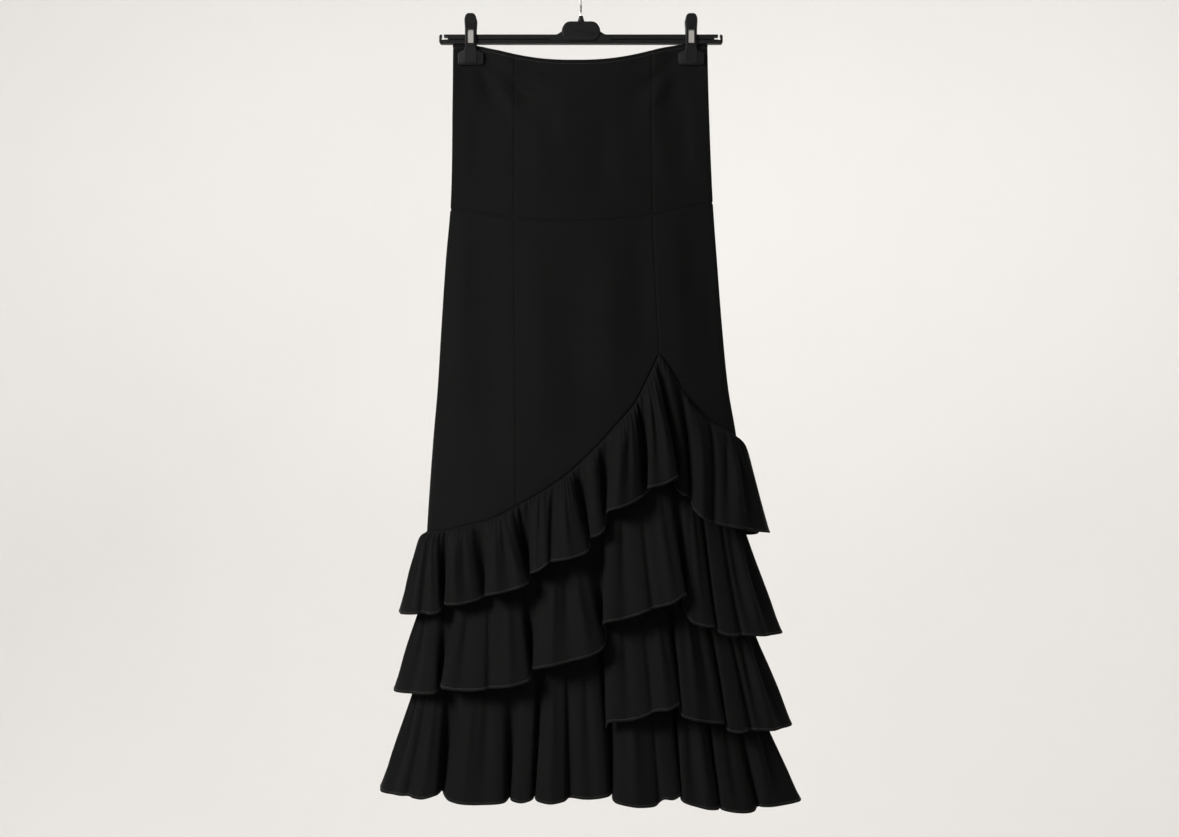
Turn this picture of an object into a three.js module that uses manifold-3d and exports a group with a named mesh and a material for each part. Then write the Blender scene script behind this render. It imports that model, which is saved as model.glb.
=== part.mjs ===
import * as THREE from 'three';
import Module from 'manifold-3d';
import { mergeVertices } from 'three/addons/utils/BufferGeometryUtils.js';

// A long flamenco skirt with slanted ruffles, hung by its waist on a clip hanger.
// Millimetres, +Z up, X to the right of the front, Y to the back, origin at the inner top of the hook.
// Places round the skirt are turns in degrees: -90 left side, 0 front middle, 90 right side, 180 back.

const clothWall = 1.6;
const seamGap = 0.3;
const sideFoldRadius = 2.2;
const sideTurn = 90;

const wasm = await Module();
wasm.setup();

// ---------------------------------------------------------------- tables

function table(columns, rows) {
  return rows.map((row) => Object.fromEntries(columns.map((name, k) => [name, row[k]])));
}

// Smooth value of one column at a place along another, held level past the ends.
function smoothValue(rows, along, column, place) {
  const last = rows.length - 1;
  const falling = rows[last][along] < rows[0][along];
  const before = (row) => (falling ? row[along] > place : row[along] < place);
  const k = THREE.MathUtils.clamp(rows.filter(before).length - 1, 0, last - 1);
  const [a, b] = [rows[k], rows[k + 1]];
  const slope = (p, q) => (q[column] - p[column]) / (q[along] - p[along]);
  const middle = slope(a, b);
  const startSlope = k > 0 ? (middle + slope(rows[k - 1], a)) / 2 : middle;
  const endSlope = k < last - 1 ? (middle + slope(b, rows[k + 2])) / 2 : middle;
  const span = b[along] - a[along];
  const t = THREE.MathUtils.clamp((place - a[along]) / span, 0, 1);
  const keepStart = (1 + 2 * t) * (1 - t) ** 2;
  const keepEnd = t * t * (3 - 2 * t);
  return a[column] * keepStart + b[column] * keepEnd
    + span * t * (1 - t) * (startSlope * (1 - t) - endSlope * t);
}

// The plain tube under the ruffles at each height: half its width and depth, how far it hangs
// to the right, and how its section runs from a flat lens (2) to an ellipse (1).
const tubeSections = table(
  ['z', 'halfWidth', 'halfDepth', 'shift', 'lens'],
  [
    [-77, 161.7, 10, -1, 2],
    [-150, 163, 15, -0.5, 2],
    [-280, 166.8, 24, 1, 1.9],
    [-350, 172.3, 28, 0.5, 1.8],
    [-440, 178.8, 34, 1, 1.6],
    [-516, 185, 38, 2.5, 1.4],
    [-580, 193, 42, 5, 1.25],
    [-697, 200, 47, 4, 1.05],
    [-797, 206, 51, 5, 1],
    [-870, 212, 53, 7, 1],
    [-1040, 218, 58, 9, 1],
  ],
);

// Soft troughs in the hanging cloth, each from a start to an end, mirrored on the back.
const troughs = table(
  ['fromX', 'fromZ', 'toX', 'toZ', 'width', 'depth'],
  [
    [-118, -100, -92, -190, 16, 2.4],
    [-84, -104, -40, -202, 18, 2.6],
    [79, -100, 54, -212, 18, 2.6],
    [113, -104, 94, -215, 16, 2.2],
    [-72, -108, 52, -110, 12, 1.8],
    [-129, -300, -124, -640, 16, 3.2],
    [137, -296, 141, -440, 16, 2.8],
  ],
);

// Waist edge: level at the clips, sagging between them.
const waist = { z: -77.5, sag: 21.5, middleX: -6, halfSpan: 145 };

// Seam between yoke and body across the front and round the back.
const yokeSeam = table(
  ['turn', 'z'],
  [
    [-90, -287],
    [-53, -291],
    [-31, -300],
    [0, -304],
    [34, -295],
    [61, -282],
    [90, -278.5],
  ],
);

// The slanted line of the first ruffle: it climbs from the left side to a peak and falls to
// the right side, then runs on down round the back.
const climbToPeak = table(
  ['turn', 'z'],
  [
    [-90, -697],
    [-62, -694],
    [-46, -686],
    [-34, -676],
    [-22, -656],
    [-8, -626],
    [4, -588],
    [12, -560],
    [20, -533],
    [27, -498],
    [32.5, -469],
  ],
);
const fallFromPeak = table(
  ['turn', 'z'],
  [
    [32.5, -469],
    [38, -493],
    [46, -529],
    [54, -551],
    [67, -565],
    [90, -580],
    [135, -601],
    [180, -638],
    [225, -676],
    [270, -697],
  ],
);
const peakTurn = climbToPeak.at(-1).turn;

// Upper edges of the lower ruffles, under the hem of the ruffle above.
const ruffle2Seam = table(
  ['turn', 'z'],
  [
    [-90, -763],
    [-50, -757],
    [-33, -741],
    [-17, -718],
    [0, -684],
    [8, -645],
    [14, -631],
    [22, -617],
    [33, -594],
    [40, -607],
    [50, -640],
    [70, -658],
    [90, -665],
    [180, -714],
    [270, -763],
  ],
);
const ruffle3Seam = table(
  ['turn', 'z'],
  [
    [8, -768],
    [20, -752],
    [34, -738],
    [42, -765],
    [60, -785],
    [90, -790],
    [140, -806],
    [200, -832],
  ],
);
const underskirtHem = table(
  ['turn', 'z'],
  [
    [-90, -866],
    [-40, -858],
    [-15, -835],
    [5, -812],
    [14, -830],
    [30, -868],
    [60, -893],
    [90, -900],
    [180, -890],
    [270, -866],
  ],
);

// One row per fold. Turns of its left and right edges and of the valley to its right, how far
// each stands off the tube, hem heights at its edges, and its place along the seam.
const foldColumns = [
  'left', 'right', 'valley',
  'leftStand', 'crownStand', 'rightStand', 'valleyStand',
  'leftHem', 'rightHem', 'seamLeft', 'seamRight',
];
const ruffle1Front = table(foldColumns, [
  [-90, -68.4, -67.3, 27, 33, 33, 28, -795, -796, -90, -75],
  [-62.7, -55.2, -56.8, 33, 35, 31, 13, -795, -792, -71, -64],
  [-50.8, -37.4, -34.6, 36, 39, 31, 15, -783, -776, -57, -44],
  [-34.1, -19.2, -19.2, 42, 45, 38, 12, -770, -756, -37, -26],
  [-17.4, -12.3, -11.2, 41, 45, 43, 37, -742, -731, -18, -13],
  [-9.3, 1.3, 1.9, 43, 45, 38, 13, -727, -716, -9.5, -5],
  [2.7, 7, 7.9, 30, 33, 28, 12, -699, -690, 0.5, 4],
  [8.4, 19.9, 23.9, 40, 43, 31, 15, -666, -650, 11, 20.5],
  [22.2, 33.7, 33.8, 44, 45, 38, 12, -638, -625, 24.5, 29.5],
  [35, 38.9, 41.5, 18, 24, 24, 12, -643, -649, 33.5, 37.5],
  [40.8, 46.8, 49.9, 34, 40, 38, 32, -667, -681, 43, 52],
  [51.8, 90, 98, 40, 42, 32, 13, -684, -697, 57, 90],
]);
const ruffle2Front = table(foldColumns, [
  [-90, -55.1, -56.6, 28, 38, 34, 13, -893, -892, -90, -61.2],
  [-50.6, -33.6, -32.1, 42, 47, 47, 42, -885, -884, -51.9, -37.4],
  [-30, -18.3, -18.2, 46, 48, 41, 12, -882, -873, -34.6, -23.6],
  [-15.8, 4.9, 7.2, 44, 49, 40, 12, -858, -836, -16.1, 0.3],
  [6.3, 20.7, 22.6, 46, 50, 50, 45, -802, -787, 8.3, 19.2],
  [24.6, 35.1, 35.4, 49, 49, 42, 17, -783, -769, 22.2, 31.7],
  [37.1, 46.3, 49, 36, 40, 38, 22, -803, -810, 39.6, 46.2],
  [48.2, 56.1, 59.3, 36, 42, 42, 36, -816, -821, 49.3, 57.5],
  [61.7, 90, 98, 43, 46, 35, 13, -821, -820, 61.5, 90],
]);
const ruffle3Front = table(foldColumns, [
  [6.8, 19.1, 20.9, 44, 49, 48, 44, -923, -914, 8.8, 18.9],
  [22.8, 30, 31.7, 47, 48, 41, 17, -909, -903, 21.7, 28.8],
  [31, 46.8, 49.8, 42, 46, 42, 25, -917, -928, 32.2, 46.2],
  [48.9, 57, 59.9, 42, 46, 45, 38, -937, -938, 50.1, 57.4],
  [61.9, 90, 98, 46, 49, 39, 15, -938, -935, 61, 90],
]);
const ruffle4Front = table(foldColumns, [
  [-90, -68.4, -66.4, 42, 49, 50, 45, -1016, -1019, -90, -71],
  [-62, -52.6, -54.2, 50, 50, 42, 14, -1020, -1016, -66.8, -57.2],
  [-46.5, -26.6, -25.4, 46, 54, 47, 24, -1021, -1021, -48.2, -28.4],
  [-23.6, -17.6, -17.3, 43, 46, 42, 13, -1019, -1018, -21.4, -16.8],
  [-15.2, -7.2, -5.8, 48, 54, 50, 38, -1018, -1017, -14.2, -7.8],
  [-4.5, 6.2, 7.8, 43, 50, 45, 12, -1014, -1012, -4.4, 4.4],
  [8.5, 20.6, 22.4, 50, 56, 52, 46, -1019, -1023, 10.1, 20.4],
  [23.7, 29.4, 31.5, 48, 50, 44, 14, -1016, -1013, 22.6, 28.1],
  [30.1, 42.3, 45.4, 46, 54, 50, 28, -1020, -1030, 30.7, 42.3],
  [44.3, 57.5, 62.2, 48, 56, 52, 38, -1031, -1035, 45.1, 57.5],
  [62.4, 90, 98, 48, 54, 47, 16, -1031, -1029, 63, 90],
]);

// Ruffle numbers: folds round the back, how the hem runs there, and how the cloth leaves its
// seam. A fan of 1 spreads evenly down the ruffle, more keeps its top close to the tube, and
// valleyHold adds to it in the deep valleys.
const ruffles = {
  one: {
    front: ruffle1Front, backFolds: 9, phase: 0.4, leftHem: -795, stand: 40,
    seamOffset: -clothWall / 2, puff: 0.22, fan: 1, steps: [0, 0.1, 0.36, 0.68, 1],
  },
  two: {
    front: ruffle2Front, backFolds: 7, phase: 1.7, leftHem: -893, stand: 44,
    seamOffset: -clothWall / 2, puff: 0, fan: 1.25, steps: [0, 0.3, 0.65, 1],
  },
  three: {
    front: ruffle3Front, backFolds: 5, phase: 2.9, leftHem: -950, stand: 46,
    seamOffset: -clothWall / 2, puff: 0, fan: 1.25, steps: [0, 0.3, 0.65, 1],
    start: 6, startStand: 34, end: 196, endStand: 30,
  },
  four: {
    front: ruffle4Front, backFolds: 8, phase: 0.9, leftHem: -1016, stand: 50,
    seamOffset: -clothWall / 2, puff: 0, fan: 1.25, steps: [0, 0.3, 0.65, 1],
  },
};
const gatherDepth = 2;
const hemLap = 6;
const valleyLift = 4;
const valleyHold = 1.4;
const crownDip = 2;
const puffRun = 0.07;
const fanPitch = 3.4;
const steepGap = 3;
const frontSamples = [3, 3, 2, 2];
const backSamples = [2, 2, 2, 2];

// ---------------------------------------------------------------- the plain tube

function tubeAt(column, z) {
  return smoothValue(tubeSections, 'z', column, z);
}

// How deep the troughs press the cloth in at a place: from this share of the depth at the start,
// deepest half way, to nothing at the end.
const troughStart = 0.15;

function troughDepth(x, z) {
  const press = troughs.map((trough) => {
    const run = new THREE.Vector2(trough.toX - trough.fromX, trough.toZ - trough.fromZ);
    const away = new THREE.Vector2(x - trough.fromX, z - trough.fromZ);
    const along = THREE.MathUtils.clamp(away.dot(run) / run.lengthSq(), 0, 1);
    const aside = away.sub(run.multiplyScalar(along)).length() / trough.width;
    const fade = Math.sin(Math.PI * THREE.MathUtils.lerp(troughStart, 1, along));
    return trough.depth * fade * Math.exp(-aside * aside);
  });
  return press.reduce((sum, one) => sum + one, 0);
}

// The clips press front and back together at the waist.
const clipX = 140;
const clipPinch = { halfWidth: 32, topZ: -110, endZ: -230 };

function pinchAt(x, z) {
  const aside = Math.exp(-(((Math.abs(x) - clipX) / clipPinch.halfWidth) ** 6));
  return aside * THREE.MathUtils.smoothstep(z, clipPinch.endZ, clipPinch.topZ);
}

// A point on the tube, moved outward through the cloth by a distance.
function tubePoint(turn, z, outward) {
  const angle = THREE.MathUtils.degToRad(turn);
  const halfWidth = tubeAt('halfWidth', z) + outward;
  const radius = Math.max(sideFoldRadius + outward, seamGap);
  const x = halfWidth * Math.sin(angle);
  const intoFold = THREE.MathUtils.clamp((Math.abs(x) - halfWidth + radius) / radius, 0, 1);
  const bulge = (tubeAt('halfDepth', z) + outward - radius)
    * Math.abs(Math.cos(angle)) ** tubeAt('lens', z);
  const press = troughDepth(x, z) * Math.abs(Math.cos(angle)) ** 0.5;
  const depth = radius * Math.sqrt(1 - intoFold * intoFold) + bulge * (1 - pinchAt(x, z)) - press;
  const side = Math.cos(angle) > 0 ? -1 : 1;
  return new THREE.Vector3(x + tubeAt('shift', z), side * (Math.max(depth, 0) + seamGap / 2), z);
}

function waistZ(turn) {
  const x = tubeAt('halfWidth', waist.z) * Math.sin(THREE.MathUtils.degToRad(turn));
  const across = Math.min(Math.abs((x - waist.middleX) / waist.halfSpan), 1);
  return waist.z - waist.sag * (1 - across ** 2.5) ** 2;
}

function yokeSeamZ(turn) {
  const front = turn > sideTurn ? 2 * sideTurn - turn : turn;
  return smoothValue(yokeSeam, 'turn', 'z', front);
}

function ruffle1SeamZ(turn) {
  const line = turn < peakTurn ? climbToPeak : fallFromPeak;
  return smoothValue(line, 'turn', 'z', turn);
}

// ---------------------------------------------------------------- cloth walls

// One closed wall between an outer and an inner grid of points, rows from top to bottom.
function wallGeometry(outer, inner) {
  const rows = outer.length;
  const columns = outer[0].length;
  const points = [...outer.flat(), ...inner.flat()];
  const triangles = [];
  const quad = (a, b, c, d) => triangles.push(a, b, c, a, c, d);
  const at = (i, j) => i * columns + j;
  const under = rows * columns;
  for (let i = 0; i < rows - 1; i += 1) {
    for (let j = 0; j < columns - 1; j += 1) {
      const [a, b, c, d] = [at(i, j), at(i + 1, j), at(i + 1, j + 1), at(i, j + 1)];
      quad(a, b, c, d);
      quad(under + a, under + d, under + c, under + b);
    }
    const right = columns - 1;
    quad(at(i, 0), under + at(i, 0), under + at(i + 1, 0), at(i + 1, 0));
    quad(at(i, right), at(i + 1, right), under + at(i + 1, right), under + at(i, right));
  }
  for (let j = 0; j < columns - 1; j += 1) {
    const low = rows - 1;
    quad(at(0, j), at(0, j + 1), under + at(0, j + 1), under + at(0, j));
    quad(at(low, j), under + at(low, j), under + at(low, j + 1), at(low, j + 1));
  }
  const geometry = new THREE.BufferGeometry();
  geometry.setAttribute(
    'position',
    new THREE.Float32BufferAttribute(points.flatMap((p) => p.toArray()), 3),
  );
  geometry.setIndex(triangles);
  geometry.computeVertexNormals();
  return geometry;
}

const clothMaterial = new THREE.MeshStandardMaterial({
  color: 0x19191a, roughness: 0.85, metalness: 0,
});

const skirt = new THREE.Group();

function addCloth(name, outer, inner) {
  const mesh = new THREE.Mesh(wallGeometry(outer, inner), clothMaterial);
  mesh.name = name;
  skirt.add(mesh);
}

// A panel of the tube between two side lines and two level lines. The lines depend on each
// other, so each point is settled in a few passes.
const settlePasses = 4;

function addPanel(name, panel) {
  const grid = (outward) => {
    const rows = [];
    for (let i = 0; i <= panel.rows; i += 1) {
      const row = [];
      for (let j = 0; j <= panel.columns; j += 1) {
        let z = panel.top(0);
        let turn = 0;
        for (let pass = 0; pass < settlePasses; pass += 1) {
          turn = THREE.MathUtils.lerp(panel.left(z), panel.right(z), j / panel.columns);
          z = THREE.MathUtils.lerp(panel.top(turn), panel.bottom(turn), i / panel.rows);
        }
        row.push(tubePoint(turn, z, outward));
      }
      rows.push(row);
    }
    return rows;
  };
  const outward = panel.outward ?? 0;
  addCloth(name, grid(outward), grid(outward - clothWall));
}

// Turn of a vertical seam that runs at a given distance from the front middle.
function seamTurn(rows, sign) {
  return (z) => {
    const x = smoothValue(rows, 'z', 'x', z) + sign * seamGap / 2 - tubeAt('shift', z);
    return THREE.MathUtils.radToDeg(Math.asin(x / tubeAt('halfWidth', z)));
  };
}

const leftPrincess = table(['z', 'x'], [[-77, -84], [-300, -84.5], [-450, -82.5], [-690, -81]]);
const rightPrincess = table(['z', 'x'], [[-77, 90], [-300, 91], [-400, 95], [-469, 98.7], [-700, 106]]);
const leftSide = () => -sideTurn;
const rightSide = () => sideTurn;
const backSide = () => 3 * sideTurn;
const lowered = (line) => (turn) => line(turn) - seamGap / 2;
const raised = (line) => (turn) => line(turn) + seamGap / 2;

const frontPanels = table(
  ['part', 'left', 'right', 'columns'],
  [
    ['left', leftSide, seamTurn(leftPrincess, -1), 9],
    ['center', seamTurn(leftPrincess, 1), seamTurn(rightPrincess, -1), 14],
    ['right', seamTurn(rightPrincess, 1), rightSide, 11],
  ],
);
const yokeRows = 6;
const bodyRows = 6;
for (const { part, left, right, columns } of frontPanels) {
  addPanel(`yoke_front_${part}`, {
    left, right, columns, rows: yokeRows, top: waistZ, bottom: raised(yokeSeamZ),
  });
  addPanel(`body_front_${part}`, {
    left, right, columns, rows: bodyRows, top: lowered(yokeSeamZ), bottom: ruffle1SeamZ,
  });
}
addPanel('yoke_back', {
  left: rightSide, right: backSide, columns: 16, rows: yokeRows,
  top: waistZ, bottom: raised(yokeSeamZ),
});
addPanel('body_back', {
  left: rightSide, right: backSide, columns: 22, rows: bodyRows,
  top: lowered(yokeSeamZ), bottom: ruffle1SeamZ,
});

// The underskirt starts behind the lower edge of the body and carries the ruffles.
const underskirtTuck = 3;
const underskirt = {
  columns: 16,
  rows: 3,
  outward: -clothWall - seamGap,
  top: (turn) => ruffle1SeamZ(turn) + underskirtTuck,
  bottom: (turn) => smoothValue(underskirtHem, 'turn', 'z', turn),
};
addPanel('underskirt_front', { ...underskirt, left: leftSide, right: rightSide });
addPanel('underskirt_back', { ...underskirt, left: rightSide, right: backSide });

// ---------------------------------------------------------------- ruffles

// Folds round the back differ in width, stand and valley by these shares, and each has its edges
// and its stretch of the seam at these shares of its width.
const backFold = {
  widthSwing: 0.3, standSwing: 0.12, left: 0.17, right: 0.8, seamLeft: 0.1, seamRight: 0.88,
  leftStand: 0.86, rightStand: 0.88, valleyStand: 21, valleySwing: 5, hemDrop: 3, lastValley: 14,
  sideMargin: 8, widthTurn: 2.4, standTurn: 1.9, valleyTurn: 3.1,
};

// Folds round the back, from just past the right side seam to just before the left one.
function backFolds(ruffle) {
  const first = ruffle.front.at(-1);
  const endTurn = ruffle.end ?? 3 * sideTurn - backFold.sideMargin;
  const share = (k) => 1 + backFold.widthSwing * Math.sin(backFold.widthTurn * k + ruffle.phase);
  const shares = Array.from({ length: ruffle.backFolds }, (_, k) => share(k));
  const total = shares.reduce((sum, one) => sum + one, 0);
  const folds = [];
  let start = first.valley;
  shares.forEach((one, k) => {
    const width = (endTurn - first.valley) * one / total;
    const round = THREE.MathUtils.smoothstep(start + width / 2, sideTurn, 3 * sideTurn);
    const hem = THREE.MathUtils.lerp(first.rightHem, ruffle.leftHem, round);
    const standSwing = backFold.standSwing * Math.sin(backFold.standTurn * k + 2 * ruffle.phase);
    const valleySwing = backFold.valleySwing * Math.sin(backFold.valleyTurn * k + ruffle.phase);
    const stand = ruffle.stand * (1 + standSwing);
    folds.push({
      left: start + backFold.left * width,
      right: start + backFold.right * width,
      valley: start + width,
      leftStand: backFold.leftStand * stand,
      crownStand: stand,
      rightStand: backFold.rightStand * stand,
      valleyStand: backFold.valleyStand + valleySwing,
      leftHem: hem,
      rightHem: hem - backFold.hemDrop,
      seamLeft: start + backFold.seamLeft * width,
      seamRight: start + backFold.seamRight * width,
    });
    start += width;
  });
  folds.at(-1).valleyStand = ruffle.endStand ?? backFold.lastValley;
  return folds;
}

// Points that the hem passes through: edge, crown, edge and valley of each fold. held says how
// far a valley is held back to the tube, from 0 to 1.
function foldControls(folds) {
  return folds.flatMap((fold, k) => {
    const next = folds[k + 1] ?? fold.after;
    const shallow = fold.valleyStand / Math.min(fold.rightStand, next.leftStand);
    const held = THREE.MathUtils.clamp(1 - shallow, 0, 1);
    return [
      { seam: fold.seamLeft, turn: fold.left, stand: fold.leftStand, z: fold.leftHem, held: 0 },
      {
        seam: (fold.seamLeft + fold.seamRight) / 2,
        turn: (fold.left + fold.right) / 2,
        stand: fold.crownStand,
        z: (fold.leftHem + fold.rightHem) / 2 - crownDip,
        held: 0,
      },
      { seam: fold.seamRight, turn: fold.right, stand: fold.rightStand, z: fold.rightHem, held: 0 },
      {
        seam: (fold.seamRight + next.seamLeft) / 2,
        turn: fold.valley,
        stand: fold.valleyStand,
        z: (fold.rightHem + next.leftHem) / 2 + valleyLift * held,
        held,
      },
    ];
  });
}

function turned(control, degrees) {
  return { ...control, seam: control.seam + degrees, turn: control.turn + degrees };
}

// A hem as one smooth line through its controls, with the matching place along the seam.
function hemLine(controls, before, after) {
  const all = [before, ...controls, after];
  const curve = new THREE.CatmullRomCurve3(
    all.map((c) => new THREE.Vector3(c.turn * fanPitch, c.stand, c.z)),
    false,
    'centripetal',
  );
  return (index, part) => {
    const place = curve.getPoint((index + 1 + part) / (all.length - 1));
    const [from, to] = [all[index + 1], all[index + 2]];
    const seam = THREE.MathUtils.lerp(from.seam, to.seam, part);
    const held = THREE.MathUtils.lerp(from.held, to.held, THREE.MathUtils.smoothstep(part, 0, 1));
    return { seam, turn: place.x / fanPitch, stand: place.y, z: place.z, held };
  };
}

// Outward direction square to the tube in plan.
function outwardAt(turn, z) {
  const angle = THREE.MathUtils.degToRad(turn);
  const across = tubeAt('halfDepth', z) * Math.sin(angle);
  const along = -tubeAt('halfWidth', z) * Math.cos(angle);
  return new THREE.Vector3(across, along, 0).normalize();
}

function rufflePoint(ruffle, seamZ, hem, down, ripple) {
  const turn = THREE.MathUtils.lerp(hem.seam, hem.turn, down);
  const z = THREE.MathUtils.lerp(seamZ(hem.seam), hem.z, down);
  const puffed = ruffle.puff * (1 - hem.held) * (1 - Math.exp(-down / puffRun));
  const spread = puffed + (1 - puffed) * down ** (ruffle.fan + valleyHold * hem.held);
  const stand = THREE.MathUtils.lerp(ruffle.seamOffset, hem.stand, spread);
  const gather = ripple * gatherDepth * (1 - down) ** 3;
  return tubePoint(turn, z, 0).addScaledVector(outwardAt(turn, z), stand + gather);
}

// The mid surface of a ruffle between two of its controls, with so many columns from edge to
// crown, crown to edge, edge to valley and valley to the next edge.
function ruffleGrid(ruffle, seamZ, line, firstControl, lastControl, samples) {
  const places = [];
  for (let index = firstControl; index < lastControl; index += 1) {
    const count = samples[((index % 4) + 4) % 4];
    for (let k = 0; k < count; k += 1) {
      places.push(line(index, k / count));
    }
  }
  places.push(line(lastControl - 1, 1));
  return ruffle.steps.map((down) => places.map((hem, k) => {
    const ripple = ruffle.puff > 0 ? k % 2 : 0;
    return rufflePoint(ruffle, seamZ, hem, down, ripple);
  }));
}

// Square to a grid of points at one of them, from its neighbours; level along the top row.
function gridNormal(grid, i, j) {
  const up = grid[Math.max(i - 1, 0)][j];
  const down = grid[Math.min(i + 1, grid.length - 1)][j];
  const left = grid[i][Math.max(j - 1, 0)];
  const right = grid[i][Math.min(j + 1, grid[0].length - 1)];
  const normal = down.clone().sub(up).cross(right.clone().sub(left));
  return (i === 0 ? normal.setZ(0) : normal).normalize();
}

function addRuffleHalf(name, grid, towardBack) {
  const edgeY = towardBack ? seamGap / 2 : -seamGap / 2;
  const layer = (distance) => grid.map((row, i) => row.map((point, j) => {
    const moved = point.clone().addScaledVector(gridNormal(grid, i, j), distance);
    return moved.setY(towardBack ? Math.max(moved.y, edgeY) : Math.min(moved.y, edgeY));
  }));
  addCloth(name, layer(clothWall / 2), layer(-clothWall / 2));
}

function addRuffle(name, ruffle, seamZ) {
  const whole = ruffle.end === undefined;
  const back = backFolds(ruffle);
  const folds = [...ruffle.front, ...back];
  const first = folds[0];
  const last = back.at(-1);
  last.after = whole
    ? { seamLeft: first.seamLeft + 360, leftHem: first.leftHem, leftStand: first.leftStand }
    : { seamLeft: ruffle.end + 1, leftHem: last.rightHem, leftStand: last.rightStand };
  const controls = foldControls(folds);
  const start = {
    seam: ruffle.start,
    turn: ruffle.start,
    stand: ruffle.startStand,
    z: first.leftHem - 2 * valleyLift,
    held: 0,
  };
  const before = whole ? turned(controls.at(-1), -360) : start;
  const after = whole ? turned(controls[0], 360) : turned(controls.at(-1), 2);
  const line = hemLine(controls, before, after);
  const seamLine = (turn) => seamZ(turn > 3 * sideTurn ? turn - 4 * sideTurn : turn);
  const sideControl = 4 * ruffle.front.length - 2;
  const lastControl = whole ? controls.length : controls.length - 1;
  const frontGrid = ruffleGrid(ruffle, seamLine, line, whole ? 0 : -1, sideControl, frontSamples);
  const backGrid = ruffleGrid(ruffle, seamLine, line, sideControl, lastControl, backSamples);
  addRuffleHalf(`${name}_front`, frontGrid, false);
  addRuffleHalf(`${name}_back`, backGrid, true);
}

// Just below a line, by more where it is steep.
function below(line) {
  return (turn) => {
    const steepness = Math.abs(line(turn + 1) - line(turn - 1)) / 2 / fanPitch;
    return line(turn) - seamGap * (1 + steepGap * steepness);
  };
}

const seamOf = (rows) => (turn) => smoothValue(rows, 'turn', 'z', turn);
addRuffle('ruffle_1', ruffles.one, below(ruffle1SeamZ));
addRuffle('ruffle_2', ruffles.two, seamOf(ruffle2Seam));
addRuffle('ruffle_3', ruffles.three, seamOf(ruffle3Seam));
addRuffle('ruffle_4', ruffles.four, (turn) => seamOf(underskirtHem)(turn) + hemLap);

// ---------------------------------------------------------------- hanger

const plasticMaterial = new THREE.MeshStandardMaterial({
  color: 0x101010, roughness: 0.45, metalness: 0,
});
const steelMaterial = new THREE.MeshStandardMaterial({
  color: 0xc8c8c6, roughness: 0.25, metalness: 1,
});

function addPiece(name, geometry, material) {
  const mesh = new THREE.Mesh(geometry, material);
  mesh.name = name;
  skirt.add(mesh);
}

function toSolid(geometry) {
  const bare = geometry.index ? geometry.toNonIndexed() : geometry.clone();
  bare.deleteAttribute('normal');
  bare.deleteAttribute('uv');
  const merged = mergeVertices(bare, 1e-4);
  return new wasm.Manifold(new wasm.Mesh({
    numProp: 3,
    vertProperties: new Float32Array(merged.attributes.position.array),
    triVerts: new Uint32Array(merged.index.array),
  }));
}

function toGeometry(solid) {
  const mesh = solid.getMesh();
  const geometry = new THREE.BufferGeometry();
  geometry.setAttribute('position', new THREE.BufferAttribute(mesh.vertProperties, 3));
  geometry.setIndex(new THREE.BufferAttribute(mesh.triVerts, 1));
  geometry.computeVertexNormals();
  return geometry;
}

// A box from its limits along each axis.
function block([x0, x1], [y0, y1], [z0, z1]) {
  const geometry = new THREE.BoxGeometry(x1 - x0, y1 - y0, z1 - z0);
  return geometry.translate((x0 + x1) / 2, (y0 + y1) / 2, (z0 + z1) / 2);
}

// An outline drawn in X and Z, extruded through a depth centred on Y = 0.
function plate(outline, depth) {
  const shape = new THREE.Shape(outline.map(([x, z]) => new THREE.Vector2(x, z)));
  const geometry = new THREE.ExtrudeGeometry(shape, { depth, bevelEnabled: false });
  return geometry.rotateX(Math.PI / 2).translate(0, depth / 2, 0);
}

const bar = { halfLength: 180, top: -65.1, bottom: -76.8, depth: 9, corner: 3 };
const groove = { top: -69.4, bottom: -72.2, depth: 2.2, halfLength: 166 };
const notch = { mouthLeft: -176.8, mouthRight: -173.9, slotLeft: -178.2, slotRight: -169.4 };
const notchSlot = { top: -67.6, bottom: -71.9 };
const webDepth = 8;
const pad = { top: -48.6, shoulder: -59, bottom: -73.2, depth: 12, recess: 0.9, rim: 2.4 };
const padHalf = { top: 16.4, shoulder: 24.5, bottom: 18.8, fairing: 34 };
const neck = { top: -41, topRadius: 2.4, bottomRadius: 4.4 };
const neckSides = 12;
const wire = {
  radius: 1.5, loopRadius: 16, sides: 8, tipAngle: -25, throatAngle: 235, angleStep: 20,
  stemBendY: -2.2, stemBendZ: -34.6, stemTop: -39.5, stemEnd: -47, steps: 36,
};

// The webs' upper edge: distance in from the outer end, and height over the bar's top.
const webEdge = table(['inward', 'rise'], [[0, -1], [4.5, 0.6], [8, 3.4]]);

// How far shapes that are joined or cut reach into or past each other.
const overlap = 1;

function barOutline() {
  const { halfLength, top, bottom, corner } = bar;
  return [
    [-halfLength, top - corner], [-halfLength + corner, top],
    [halfLength - corner, top], [halfLength, top - corner],
    [halfLength, bottom + corner], [halfLength - corner, bottom],
    [-halfLength + corner, bottom], [-halfLength, bottom + corner],
  ];
}

function padOutline(inset) {
  return [
    [-padHalf.top + inset, pad.top - inset],
    [padHalf.top - inset, pad.top - inset],
    [padHalf.shoulder - inset, pad.shoulder],
    [padHalf.bottom - inset, pad.bottom + inset],
    [-padHalf.bottom + inset, pad.bottom + inset],
    [-padHalf.shoulder + inset, pad.shoulder],
  ];
}

// The sloping webs from the bar up to the sides of the pad.
function fairingOutline() {
  const left = webEdge.map(({ inward, rise }) => [-padHalf.fairing + inward, bar.top + rise]);
  left.push([-padHalf.shoulder + overlap, pad.shoulder]);
  return [...left, ...left.map(([x, z]) => [-x, z]).reverse()];
}

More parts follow.
